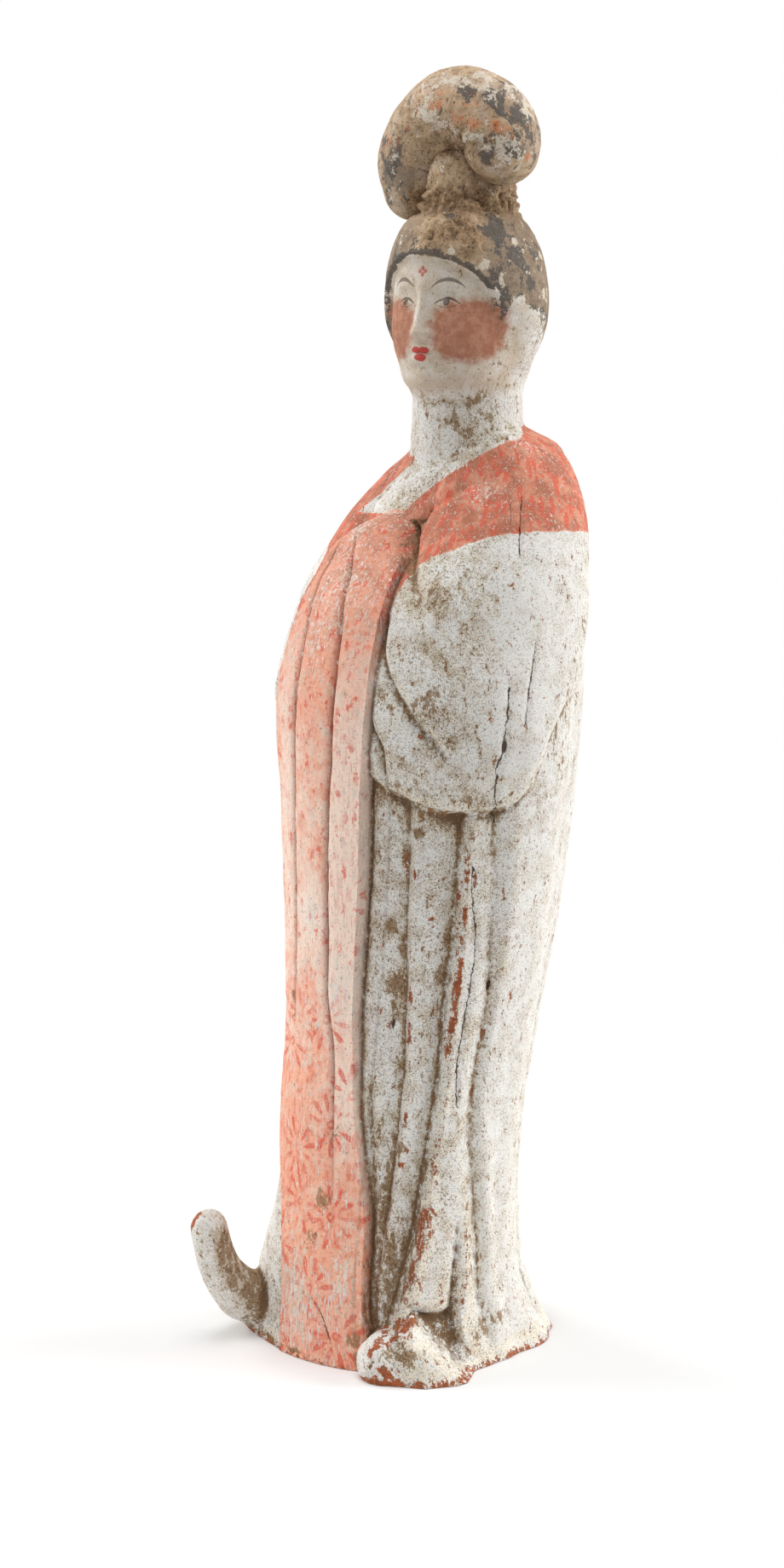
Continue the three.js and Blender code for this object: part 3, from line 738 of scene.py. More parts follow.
# Remains of colour on the topknot, each (across, height, wide, tall, amount).
bunRust = [
    (-25, 963, 7, 4, 1.0), (-9, 954, 7, 4, 0.9), (3, 949, 8, 4.5, 1.0), (16, 951, 7, 4, 0.9),
    (24, 944, 7, 4, 0.9), (-22, 974, 14, 4, 0.6), (-60, 940, 3, 5, 0.7), (44, 925, 4, 5, 0.6),
    (2, 964, 16, 4, 0.4),
]
bunPale = [
    (-36, 960, 5, 4, 1.0), (-29, 954, 6, 4, 1.0), (-19, 949, 7, 3.5, 1.0), (-10, 944, 7, 3.5, 0.9),
    (4, 939, 9, 3.5, 0.9), (10, 933, 5, 4, 0.8), (10, 985, 9, 4, 0.9), (-14, 984, 12, 5, 0.7),
    (-32, 972, 6, 10, 0.5), (34, 975, 8, 6, 0.7), (44, 962, 5, 12, 0.7), (27, 930, 12, 12, 0.6),
    (-2, 979, 24, 4, 0.5), (-58, 924, 3, 20, 0.4), (16, 975, 10, 7, 0.6),
]
bunDark = [
    (-1, 972, 6, 6, 1.1), (18, 969, 8, 4.5, 1.1), (22, 961, 6, 4, 1.0), (37, 957, 7, 8, 1.1),
    (44, 953, 5, 8, 0.9), (34, 935, 14, 12, 0.75), (14, 926, 7, 7, 0.7), (-54, 930, 6, 14, 0.7),
    (-61, 916, 5, 14, 0.9), (-64, 940, 4, 10, 0.7), (30, 976, 10, 6, 0.5), (48, 940, 6, 20, 0.6),
    (-46, 905, 12, 10, 0.4),
]
# The same on the hair of the head, by angle and height.
crownDark = [
    (62, 868, 15, 12, 1.0), (72, 850, 12, 12, 0.9), (8, 848, 22, 3.5, 1.0), (-14, 850, 10, 4, 0.9),
    (20, 880, 10, 5, 0.7), (56, 836, 6, 12, 0.9), (64, 818, 6, 14, 0.8), (96, 852, 12, 10, 0.6),
    (84, 832, 12, 12, 0.7), (-30, 846, 10, 10, 0.6),
]
crownPale = [
    (48, 846, 5, 5, 1.1), (25, 854, 4, 3.5, 1.0), (-24, 864, 5, 5, 1.0), (76, 860, 3, 8, 0.7),
    (-12, 845, 12, 2.5, 0.7), (60, 832, 3, 8, 0.5), (110, 850, 8, 8, 0.5), (104, 822, 10, 8, 0.7),
    (88, 842, 8, 6, 0.5),
]
crownCrust = [(12, 864, 13, 9, 1.0), (28, 872, 16, 9, 1.2), (42, 862, 9, 8, 1.0), (36, 853, 7, 5, 0.9)]


def blobs(table, first, level, scale=1.0):
    # The strongest of some soft spots, each (place, height, wide, tall) and, if not 1, an amount.
    total = np.zeros(count)
    for middle, height, wide, tall, *amount in table:
        strength = amount[0] if amount else 1.0
        spot = strength * bump((first - middle) * scale, wide) * bump(level - height, tall)
        total = np.maximum(total, spot)
    return total


shawl = {
    "lower": curve([(17, 560), (20, 596), (23.8, 614), (30, 623), (41.5, 632), (50.2, 638.5), (59, 643),
                    (67.8, 645), (80.5, 645.5), (105, 642), (140, 635), (180, 635)]),
    "upper": curve([(-180, 760), (-124, 760), (-110, 724), (-86, 714), (-60, 709), (-28, 704), (-20, 700),
                    (-16, 653), (-10.5, 657), (-3.7, 665), (7.2, 675), (22.6, 688), (36, 699),
                    (56, 708), (86, 714), (110, 724), (124, 760), (180, 760)]),
    "farCollar": curve([(-56, 650), (-51, 665), (-40, 679), (-28, 690), (-18, 701), (-10, 722)]),
}

print("roughening the surface")
points, normals = meshArrays(figure)
edges = meshEdges(figure)
count = len(points)
z = points[:, 2]
gownAngle, gownDistance = offGown(points)
headAngle, headDistance = offHead(points)

# Which form each point came from.
near, far = 1.2, 99
gownSurface = gownRadius(gownAngle, np.minimum(z, gown["top"]))
headSurface = headRadius(headAngle, np.clip(z, head["bottom"], head["top"]))
fromGown = np.where(z <= gown["top"] + 0.5, np.abs(gownDistance - gownSurface), far)
inHead = (z > head["bottom"]) & (z < head["top"] + 0.5)
fromHead = np.where(inHead, np.abs(headDistance - headSurface), far)
onGown = (fromGown < near) & (fromGown <= fromHead)
onHeadPart = ~onGown & (fromHead < near)
onShoe = ~onGown & ~onHeadPart & (z < 200)
onTopknot = ~onGown & ~onHeadPart & ~onShoe
onBase = z < 0.01
part = onHeadPart * 1 + onShoe * 2 + onTopknot * 3
onRight = onShoe & (points[:, 0] < 0)
sideways = (points[:, 0] + points[:, 1]) * math.sqrt(0.5)
towards = (points[:, 0] - points[:, 1]) * math.sqrt(0.5)
onStub = (z < 60) & (towards > 95) & (sideways > -45) & (sideways < 14)
stubSide, stubLevel = stubFace["middle"]
stubIn = np.hypot((sideways - stubSide) / stubFace["half"][0], (z - stubLevel) / stubFace["half"][1])
across = sideways - (head["centre"][0] + head["centre"][1]) * math.sqrt(0.5)

# The joints between the parts are softened, as in worked clay, and more at the neck.
softening = {"reach": 5, "steps": 8, "neck": (600, 740), "neckSteps": 16}
border = part[edges[:, 0]] != part[edges[:, 1]]
beside = np.zeros((count, 1))
beside[edges[border].ravel()] = 1
for i in range(softening["reach"]):
    beside = np.maximum(beside, neighbourMean(beside, edges, count))
beside = np.clip(beside * 1.8, 0, 1)
beside[onBase] = 0
low, high = softening["neck"]
atNeck = beside * ((z > low) & (z < high))[:, None]
for share, steps in ((0.55 * beside, softening["steps"]), (0.6 * atNeck, softening["neckSteps"])):
    for i in range(steps):
        points += share * (neighbourMean(points, edges, count) - points)
setPoints(figure, points)
points, normals = meshArrays(figure)


def smoothed(mean, steps):
    for i in range(steps):
        mean = neighbourMean(mean, edges, count)
    return mean


def inward(mean):
    # How far each point lies below a smoothed surface.
    return np.sum((mean - points) * normals, axis=1) * ~onBase


# Hollows are browner and take painted shade, ridges wear through and take a painted highlight. Both are read
# from how far the surface is from a smoothed one, over a few steps for fine detail and many for broad forms.
fineSteps, hollowSteps, broadSteps = 5, 24, 110
fineHollow = inward(smoothed(points, fineSteps))
mean = smoothed(points, hollowSteps)
hollow = inward(mean)
shade = inward(smoothed(mean, broadSteps))

# How far inside the painted edge of the panel, the shawl and the hair each point is.
left, right = panel["left"](z), panel["right"](z)
degreeLength = np.radians(1) * np.maximum(gownDistance, 40)
panelTopLine = panelTop(gownAngle, z)
panelIn = np.minimum(left + 1.2 - gownAngle, gownAngle - right + 1) * degreeLength
panelIn = np.minimum(panelIn, panelTopLine + 4 - z)
around = np.where(gownAngle < 0, np.maximum(-gownAngle - 29, 17), np.maximum(gownAngle, 17))
shawlIn = np.minimum(z - shawl["lower"](around), (shawl["upper"](gownAngle) - z) * 0.8)
beyondEdge = np.where(gownAngle > 0, gownAngle - left, right - gownAngle) * degreeLength
shawlIn = np.where(z < 650, np.minimum(shawlIn, beyondEdge + 30), shawlIn)
# The pale wedge of the robe at the neck, between the shawl's two sides and the top of the panel.
wedgeIn = np.minimum(np.minimum(shawl["farCollar"](gownAngle), 704) - z, (gownAngle + 54.5) * degreeLength)
wedgeIn = np.minimum(wedgeIn, z - 652.5)
shawlIn = np.where(gownAngle < -14, np.minimum(shawlIn, -wedgeIn), shawlIn)
shawlIn = shawlIn - 40 * ease(3, 8, panelIn) * ease(654, 640, z)
farOut, farIn = -40, 40
panelIn[~onGown] = farOut
shawlIn[~onGown] = farOut
hairIn = (beyondFace(headAngle, z) - 0.995) * 58
hairIn = np.minimum(hairIn, z - hairEdge(headAngle))
hairline = ease(7, 3, hairIn) * ease(-1, 0.5, hairIn) * onHeadPart * ease(785, 805, z)
hairIn = hairIn * np.where(onHeadPart, 1 + 4 * ease(56, 48, np.abs(headAngle)) * ease(790, 812, z), 1)
hairIn[onTopknot] = farIn
hairIn[onGown | onShoe] = farOut

crackSide, crackNear = cutCracks(gownAngle, z)
crackNear[~onGown] = 0
pitIn = onGown * blobs(pits, gownAngle, z, unitsPerDegree)

# Browner in the hollows (in the broad ones as painted shade), low in the fold left of the panel, round the
# front of the lower neck and on the toe's inner side; earth in spots, in the topknot's opening and beside the
# right shoe.
lowFold = onGown * (panelIn < 0) * bump(gownAngle - 38, 16) * ease(330, 60, z)
earth = 0.62 * np.clip(hollow / 4, 0, 1) + 0.2 * np.clip(fineHollow, 0, 1) + 0.3 * np.clip(shade / 7, 0, 1)
earth += 0.4 * lowFold * np.clip(0.4 + hollow / 3, 0, 1.4)
earth *= np.where(panelIn > 0, 0.5, 1.0) * np.where(onHeadPart & (z < 838), 0.5, 1.0)
earth += spots(earthSpots, gownAngle, z) * onGown
earth += spots(headSpots, headAngle, z) * onHeadPart
belt = (onTopknot * (headDistance < 48) | onHeadPart & (z > 868)) * bump(z - 893, 13) * ease(-70, -30, across)
innerArch = onTopknot * bump(across + 16, 34) * bump(z - 938, 17) * (normals[:, 1] < 0.3)
crustIn = np.maximum(belt, 0.8 * innerArch)
crustIn = np.maximum(crustIn, blobs(crownCrust, headAngle, z) * onHeadPart)
earth += 0.9 * crustIn
earth += 0.35 * (onHeadPart | onGown) * bump(headAngle - 50, 60) * bump(z - 712, 14)
toeInner = onRight * ease(-0.25, 0.5, normals @ np.array([0.68, 0.68, 0.25])) * ease(116, 70, z)
earth += 0.85 * toeInner + 0.08 * onRight * ease(10, 40, z)
joint = beside[:, 0] * (z < 150) * (gownAngle < 0)
earth += 0.8 * joint

# Bare clay, along ridges, in strips and chips, at the foot and on the broken shoe.
clay = 0.45 * np.clip(-fineHollow / 1.2 - 0.5, 0, 1) * onGown * (panelIn < -6)
clay *= ease(480, 330, z) * ease(30, 60, z)
nearCloth = onGown | onShoe & ~onRight
for path, width in clayStrips:
    within = 0.72 * width - lineDistance(gownAngle, z, path)
    clay = np.maximum(clay, np.clip(0.68 + 0.4 * within, 0, 1.5) * nearCloth)
clay = np.maximum(clay, 1.25 * onGown * blobs(clayChips, gownAngle, z, unitsPerDegree))
clay = np.maximum(clay, 1.5 * ease(5.5, 1.5, z))
clay += 0.1 * onGown * bump(gownAngle - 50, 18) * bump(z - 300, 90)
outward = normals @ np.array([-0.62, -0.62, 0.48])
clay = np.maximum(clay, 1.15 * onRight * ease(0.74, 0.93, outward) * ease(14, 30, z))
clay = np.maximum(clay, onStub * blobs(stubClay, sideways, z))
for path in stubRims:
    within = 1.0 - lineDistance(sideways, z, path, 1.0)
    clay = np.maximum(clay, onStub * np.clip(0.68 + 0.5 * within, 0, 1.1))
clay[onBase] = 1
earth += 0.75 * onStub * ease(1.1, 0.9, stubIn) * bump(z - 22, 10)

# Broad unevenness, a fine grain, shallow losses, the crumbly earth and the cracks.
grain = 0.5 * layeredNoise(points, 34, 1) + 0.24 * layeredNoise(points, 11, 2, 2)
crust = np.clip(earth, 0, 1) * (0.35 * layeredNoise(points, 8, 3, 2) + 0.15)
chips = ease(0.42, 0.6, layeredNoise(points, 15, 4)) * (0.3 + 0.5 * np.clip(clay + earth, 0, 1))
cracked = np.maximum(crackNear * bump(crackSide, 1.5), 1.6 * pitIn)
lump, crumb = np.abs(valueNoise(points, 7.5, 5)), np.abs(valueNoise(points, 4.2, 6))
crustIn = np.clip(crustIn, 0, 1)
crustRelief = crustIn * (6.0 * lump + 3.4 * crumb - 2.0)
# Painted shade in the crust's crevices, at the low points of its relief.
creviceShade = crustIn * np.maximum(ease(0.2, 0.03, lump), 0.8 * ease(0.16, 0.0, crumb))
creviceShade *= np.clip(0.45 + 1.8 * valueNoise(points, 4.8, 7), 0, 1)
rim = 0.8 * bump(panelIn - 3, 2.2) * (panelIn > -3)
rim = rim + 2.6 * ease(0, 6, panelIn) * bump(panelTopLine - z - 11, 9)  # the rolled top end of the panel
offFace = 1 - onHeadPart * ease(1.02, 0.9, beyondFace(headAngle, z))
move = grain * (0.2 + 0.8 * offFace) + (crust - chips) * offFace - 1.5 * cracked + rim + crustRelief
move -= 1.8 * onStub * ease(1.03, 0.95, stubIn) + 1.2 * joint
move[onBase] = 0
move *= np.clip(z / 4, 0, 1)
points += normals * move[:, None]
cadLow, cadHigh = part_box("figure")
points = np.clip(points, np.array(cadLow) / unit, np.array(cadHigh) / unit)  # stays within the CAD's box
setPoints(figure, points)


def keep(name, values):
    # Keeps a value for each point on the mesh, for the paint to read.
    made = figure.data.attributes.new(name, "FLOAT", "POINT")
    made.data.foreach_set("value", np.asarray(values, np.float32))


def keepPlace(name, first, second, third=0.0):
    made = figure.data.attributes.new(name, "FLOAT_VECTOR", "POINT")
    values = np.stack([first, second, np.broadcast_to(third, count)], 1)
    made.data.foreach_set("vector", np.asarray(values, np.float32).ravel())


keep("panelIn", panelIn)
keep("shawlIn", shawlIn)
keep("hairIn", hairIn)
keep("crackSide", crackSide)
keep("crackNear", crackNear)
keep("pit", pitIn)
keep("earth", np.clip(earth, 0, 1.5))
keep("clay", np.clip(clay, 0, 1.5))
keep("crustIn", crustIn)
keep("creviceShade", creviceShade)
keep("bun", onTopknot)

# How thick the warm film lies: as painted shade in the broad hollows, and at film spots and on the toe's
# inner side.
filmAndShade = spots(filmSpots, gownAngle, z) * onGown * (shawlIn < 0) * (panelIn < 0)
filmAndShade += (0.45 + 0.9 * toeInner) * onRight * ease(8, 40, z)
keep("shade", np.clip(shade / 6, 0, 1) + filmAndShade)
keep("deep", np.clip(hollow / 5, 0, 1))
offPanel = (part == 0) * (panelIn < 0)
# A painted shade line in the fine creases of the cloth outside the panel.
keep("creaseShade", np.clip(fineHollow / 0.9 - 0.35, 0, 1) * offPanel * ease(650, 600, z))
# A painted highlight along the fine ridges of the cloth outside the panel.
keep("ridgeHighlight", np.clip(-fineHollow / 0.8 - 0.25, 0, 1) * offPanel)
quiet = 0.8 * ease(78, 90, gownAngle) * ease(460, 430, z) + 0.8 * ease(46, 74, gownAngle) * ease(440, 470, z)
quiet = quiet + 0.7 * ease(-20, -45, gownAngle)
quiet = np.where(onHeadPart, 0.6, np.where(onRight | onStub, 0.7, quiet))
keep("quiet", np.clip(quiet, 0, 1))

# How far the pigment on the cloth is worn, paled and dulled, and where painted shade lines its grooves and
# creases.
wear = spots(wearSpots, gownAngle, z) + 0.5 * (panelIn > 0) * bump(panelIn - 1.5, 2.2)
keep("wear", np.clip(wear, 0, 1))
pale = bump(z - 370, 130) * (0.36 + 0.5 * ease(-6, 5, gownAngle)) + spots(paleSpots, gownAngle, z)
pale += 0.2 * bump(z - 500, 90) * ease(0, 8, gownAngle) + 0.3 * bump(z - 200, 60) * ease(5, 14, gownAngle)
keep("pale", np.clip(pale * (panelIn > -8), 0, 1))
keep("dusk", np.clip(0.95 * (shawlIn > 0) + 0.75 * ease(470, 650, z) * (panelIn > 0), 0, 1))
# Painted shade along the panel's grooves, darker where they are deeper.
grooveShade = np.zeros(count)
for line, wide in zip(grooves, (1.3, 1.7)):
    path, depth = line[:2]
    dark = bump((gownAngle - path(z)) * degreeLength, wide) * np.clip(depth(z) / 3.5, 0, 1)
    grooveShade = np.maximum(grooveShade, dark)
keep("grooveShade", grooveShade * (panelIn > 0))
# Painted shade in the valley beside the panel's left edge and along the first two sleeve folds.
foldLineShade = bump((gownAngle - left - 1.5) * degreeLength, 1.9) * ease(650, 600, z) * onGown
for line, amount in zip(sleeveFolds, (0.8, 0.7)):
    path, depth = line[:2]
    dark = bump((gownAngle - path(z) - 0.4) * degreeLength, 1.2) * np.clip(depth(z) / 5, 0, 1)
    foldLineShade = np.maximum(foldLineShade, amount * dark * onGown * (gownAngle > 0))
keep("foldLineShade", foldLineShade)
keepPlace("clothPlace", gownAngle * 1.8, z)

# The worn hair: where it is rusty, pale or still dark, and calmer behind.
behind = ease(5, -25, towards - (head["centre"][0] - head["centre"][1]) * math.sqrt(0.5))
rusty = np.clip(1.4 * blobs(bunRust, across, z), 0, 1.1) * onTopknot
whitish = np.maximum(1.3 * blobs(bunPale, across, z) * onTopknot, blobs(crownPale, headAngle, z) * onHeadPart)
bluish = np.maximum(1.2 * blobs(bunDark, across, z) * onTopknot, blobs(crownDark, headAngle, z) * onHeadPart)
bluish = np.maximum(bluish, 0.95 * hairline)
rearTones = ((rusty, 0.1), (whitish, 0.06), (bluish, 0.18))
keepPlace("hairTone", *(tone * (1 - behind) + rear * behind for tone, rear in rearTones))
crownWide = 0.62 * ease(40, 56, headAngle) * ease(150, 120, headAngle) + 0.6 * ease(-2, -14, headAngle)
keep("sooty", (0.6 * behind + crownWide * (1 - behind)) * onHeadPart * (1 - crustIn))

keep("onFace", onHeadPart * ease(100, 80, np.abs(headAngle)) * ease(742, 754, z))
keepPlace("facePlace", np.radians(headAngle) * head["arc"], z)

tris = sum(len(p.vertices) - 2 for p in figure.data.polygons)
print("triangles", tris)


def linear(red, green, blue):
    def one(value):
        value /= 255
        return value / 12.92 if value <= 0.04045 else ((value + 0.055) / 1.055) ** 2.4

    return one(red), one(green), one(blue), 1.0


def put(tree, kind, values=None, **settings):
    # Adds a node. A value is a constant or the socket to link.
    made = tree.nodes.new(kind)
    for name, value in settings.items():
        setattr(made, name, value)
    for key, value in (values or {}).items():
        if isinstance(value, bpy.types.NodeSocket):
            tree.links.new(value, made.inputs[key])
        else:
            made.inputs[key].default_value = value
    return made


def calc(tree, operation, first, second=0.0, third=0.0, clamp=False):
    made = put(tree, "ShaderNodeMath", {0: first, 1: second, 2: third}, operation=operation, use_clamp=clamp)
    return made.outputs[0]


def between(tree, value, low, high):
    # Smoothly 0 at low and 1 at high, in either direction.
    made = put(tree, "ShaderNodeMapRange", {"Value": value, "From Min": low, "From Max": high},
               interpolation_type="SMOOTHSTEP")
    return made.outputs["Result"]


def vectorCalc(tree, operation, first, second=None):
    # The second value is a vector, or a number for SCALE.
    values = {0: first}
    if second is not None:
        values["Scale" if operation == "SCALE" else 1] = second
    made = put(tree, "ShaderNodeVectorMath", values, operation=operation)
    return made.outputs["Value" if operation == "LENGTH" else "Vector"]


def blend(tree, share, under, over):
    made = put(tree, "ShaderNodeMix", {0: share, 6: under, 7: over}, data_type="RGBA")
    return made.outputs[2]


def times(tree, *values):
    result = values[0]
    for value in values[1:]:
        result = calc(tree, "MULTIPLY", result, value)
    return result


def noiseOf(tree, place, scale, detail, rough, stretch=None):
    if stretch:
        place = vectorCalc(tree, "MULTIPLY", place, stretch)
    values = {"Vector": place, "Scale": scale, "Detail": detail, "Roughness": rough}
    return put(tree, "ShaderNodeTexNoise", values).outputs["Fac"]


def startGroup(name, inputs, outputs):
    group = bpy.data.node_groups.new(name, "ShaderNodeTree")
    for socket, kind, value in inputs:
        made = group.interface.new_socket(socket, in_out="INPUT", socket_type=kind)
        if value is not None:
            made.default_value = value
    for socket, kind in outputs:
        group.interface.new_socket(socket, in_out="OUTPUT", socket_type=kind)
    source = group.nodes.new("NodeGroupInput").outputs
    sink = group.nodes.new("NodeGroupOutput").inputs
    return group, source, sink


def use(tree, group, values, output=None):
    made = put(tree, "ShaderNodeGroup", values, node_tree=group)
    return made.outputs[output] if output else made.outputs


print("mixing the paint")
floatSocket, vectorSocket = "NodeSocketFloat", "NodeSocketVector"


def raggedGroup():
    # A mask inside an edge given as a distance, broken up by two noises.
    group, source, sink = startGroup(
        "raggedEdge",
        [("Inside", floatSocket, 0.0), ("Broad", floatSocket, 0.5), ("Fine", floatSocket, 0.5),
         ("Broad Reach", floatSocket, 2.0), ("Fine Reach", floatSocket, 2.0)],
        [("Mask", floatSocket)])
    moved = source["Inside"]
    for noise, reach in (("Broad", "Broad Reach"), ("Fine", "Fine Reach")):
        wobble = calc(group, "SUBTRACT", source[noise], 0.5)
        moved = calc(group, "MULTIPLY_ADD", wobble, source[reach], moved)
    group.links.new(between(group, moved, -0.45, 0.45), sink["Mask"])
    return group


def coverGroup():
    # Turns a noise into a mask with torn edges that covers about Amount of the surface.
    group, source, sink = startGroup(
        "covering",
        [("Noise", floatSocket, 0.5), ("Spread", floatSocket, 0.06), ("Amount", floatSocket, 0.3),
         ("Soft", floatSocket, 0.15)],
        [("Mask", floatSocket)])
    away = calc(group, "DIVIDE", calc(group, "SUBTRACT", source["Noise"], 0.5), source["Spread"])
    level = calc(group, "ADD", away, calc(group, "MULTIPLY_ADD", source["Amount"], 4.6, -2.3))
    low = calc(group, "MULTIPLY", source["Soft"], -1.0)
    group.links.new(between(group, level, low, source["Soft"]), sink["Mask"])
    return group


def blossomGroup():
    # Round flowers of a few petals with a dot in the middle, one to a cell.
    group, source, sink = startGroup(
        "blossoms",
        [("Place", vectorSocket, None), ("Scale", floatSocket, 0.05), ("Radius", floatSocket, 8.0),
         ("Petals", floatSocket, 7.0)],
        [("Mask", floatSocket)])
    wobble = put(group, "ShaderNodeTexNoise", {"Vector": source["Place"], "Scale": 0.35, "Detail": 2.0})
    shifted = vectorCalc(group, "SUBTRACT", wobble.outputs["Color"], (0.5, 0.5, 0.5))
    place = vectorCalc(group, "ADD", source["Place"], vectorCalc(group, "SCALE", shifted, 2.4))
    settings = {"Vector": place, "Scale": source["Scale"], "Randomness": 0.75}
    cells = put(group, "ShaderNodeTexVoronoi", settings, voronoi_dimensions="2D")
    offset = vectorCalc(group, "SUBTRACT", place, cells.outputs["Position"])
    parts = put(group, "ShaderNodeSeparateXYZ", {0: offset}).outputs
    radius = vectorCalc(group, "LENGTH", offset)
    angle = calc(group, "ARCTAN2", parts[1], parts[0])
    tone = put(group, "ShaderNodeSeparateColor", {0: cells.outputs["Color"]}).outputs[0]
    turned = calc(group, "MULTIPLY_ADD", tone, 6.28, angle)
    wave = calc(group, "COSINE", times(group, turned, source["Petals"]))
    share = calc(group, "DIVIDE", radius, source["Radius"])
    ring = times(group, between(group, share, 0.32, 0.42), between(group, share, 1.04, 0.9))
    # The petals are strokes of the brush, broadest half way out.
    outwards = calc(group, "ABSOLUTE", calc(group, "SUBTRACT", share, 0.68))
    broad = calc(group, "MULTIPLY_ADD", outwards, 1.9, 0.08)
    stroke = between(group, calc(group, "SUBTRACT", wave, broad), -0.1, 0.25)
    eye = times(group, between(group, share, 0.17, 0.13), between(group, share, 0.03, 0.08))
    group.links.new(calc(group, "MAXIMUM", times(group, ring, stroke), eye), sink["Mask"])
    return group


def dabsGroup():
    # Short upright dabs of a brush in loose columns.
    group, source, sink = startGroup(
        "dabs",
        [("Place", vectorSocket, None), ("Scale", floatSocket, 0.2), ("Size", floatSocket, 0.3)],
        [("Mask", floatSocket)])
    bent = vectorCalc(group, "MULTIPLY", source["Place"], (1.0, 0.42, 1.0))
    settings = {"Vector": bent, "Scale": source["Scale"], "Randomness": 0.9}
    cells = put(group, "ShaderNodeTexVoronoi", settings, voronoi_dimensions="2D")
    edge = calc(group, "MULTIPLY_ADD", noiseOf(group, source["Place"], 0.5, 2.0, 0.55), 0.3, -0.15)
    reach = calc(group, "ADD", source["Size"], edge)
    within = calc(group, "SUBTRACT", reach, cells.outputs["Distance"])
    group.links.new(between(group, within, -0.05, 0.05), sink["Mask"])
    return group


def facePaintGroup():
    # Brows, eyes, lips, the mark on the brow and rouge, from the place on the face.
    group, source, sink = startGroup(
        "facePaint",
        [("Place", vectorSocket, None), ("Wobble", floatSocket, 0.5), ("Ragged", floatSocket, 0.5)],
        [("Lines", floatSocket), ("Lips", floatSocket), ("Rouge", floatSocket)])
    parts = put(group, "ShaderNodeSeparateXYZ", {0: source["Place"]}).outputs
    across = calc(group, "ABSOLUTE", parts[0])
    shake = calc(group, "MULTIPLY_ADD", source["Wobble"], 1.4, -0.7)
    level = calc(group, "ADD", parts[1], shake)

    def apart(place, middle, half):
        return calc(group, "DIVIDE", calc(group, "SUBTRACT", place, middle), half)

    def bow(middle, half, low, rise, thick, taper):
        # A line bowed upwards over middle, thinning to its ends.
        share = apart(across, middle, half)
        fall = calc(group, "SUBTRACT", 1.0, times(group, share, share), clamp=True)
        height = calc(group, "MULTIPLY_ADD", fall, rise, low)
        width = calc(group, "MULTIPLY", calc(group, "POWER", fall, taper), thick)
        gap = calc(group, "ABSOLUTE", calc(group, "SUBTRACT", level, height))
        line = between(group, calc(group, "SUBTRACT", width, gap), -0.3, 0.3)
        return times(group, line, between(group, fall, 0.0, 0.08)), height

    def spot(middle, centre, wide, tall):
        x, y = apart(across, middle, wide), apart(level, centre, tall)
        length = calc(group, "SQRT", calc(group, "ADD", times(group, x, x), times(group, y, y)))
        return between(group, length, 1.12, 0.88)

    def larger(first, *others):
        for other in others:
            first = calc(group, "MAXIMUM", first, other)
        return first

    brow = bow(21.5, 14.0, 827.0, 6.5, 1.5, 0.7)[0]
    upper, lidHeight = bow(20.5, 11.0, 814.8, 4.4, 0.95, 0.35)
    lower, lowHeight = bow(20.0, 9.5, 814.6, -1.8, 0.4, 0.4)
    below = between(group, calc(group, "SUBTRACT", lidHeight, level), -0.2, 0.5)
    above = between(group, calc(group, "SUBTRACT", level, lowHeight), -0.2, 0.5)
    iris = times(group, spot(20.0, 816.6, 2.7, 3.0), below, above)
    group.links.new(larger(times(group, brow, 0.85), upper, times(group, lower, 0.6), iris), sink["Lines"])
    lips = larger(spot(3.3, 780.2, 4.6, 2.5), spot(0.0, 774.6, 5.4, 3.0))
    mark = larger(spot(0.0, 842.0, 1.6, 1.9), spot(0.0, 837.2, 1.6, 1.9), spot(2.7, 839.6, 1.7, 1.5))
    group.links.new(larger(lips, times(group, mark, 0.75)), sink["Lips"])
    # Rouge is a rounded square on each cheek with a ragged edge.
    x, y = apart(across, 38.0, 31.0), apart(level, 795.0, 24.0)
    x, y = (calc(group, "POWER", calc(group, "ABSOLUTE", value), 2.6) for value in (x, y))
    spread = calc(group, "ADD", x, y)
    spread = calc(group, "ADD", spread, calc(group, "MULTIPLY_ADD", source["Wobble"], 1.2, -0.6))
    spread = calc(group, "ADD", spread, calc(group, "MULTIPLY_ADD", source["Ragged"], 1.0, -0.5))
    group.links.new(between(group, spread, 1.35, 0.55), sink["Rouge"])
    return group


ragged, covering = raggedGroup(), coverGroup()
blossoms, dabs, facePaint = blossomGroup(), dabsGroup(), facePaintGroup()

colours = {
    "slip": linear(240, 238, 232),
    "slipWarm": linear(222, 207, 182),
    "slipRosy": linear(220, 206, 204),
    "filmAndShade": linear(202, 185, 154),
    "ridgeHighlight": linear(244, 232, 210),
    "salmon": linear(248, 182, 152),
    "salmonPale": linear(254, 228, 210),
    "salmonDeep": linear(233, 139, 108),
    "salmonDusk": linear(180, 106, 80),
    "salmonGrooveShade": linear(122, 62, 44),
    "vermilion": linear(226, 84, 62),
    "soot": linear(112, 102, 92),
    "clay": linear(186, 104, 64),
    "clayDeep": linear(150, 82, 52),
    "earth": linear(160, 130, 96),
    "earthAndShadeDark": linear(100, 76, 52),
    "fleck": linear(132, 100, 68),
    "fleckDark": linear(84, 64, 46),
    "hair": linear(200, 173, 142),
    "hairBrown": linear(166, 140, 110),
    "hairWash": linear(208, 192, 178),
    "hairDark": linear(92, 88, 84),
    "hairPale": linear(226, 214, 196),
    "hairWarm": linear(214, 172, 140),
    "rusty": linear(212, 134, 90),
    "crust": linear(176, 144, 108),
    "creviceShade": linear(84, 58, 38),
    "skinFilm": linear(204, 180, 150),
    "rouge": linear(178, 112, 84),
    "rougePale": linear(196, 138, 108),
    "lips": linear(200, 52, 44),
    "line": linear(74, 60, 52),
    "crack": linear(66, 46, 36),
}


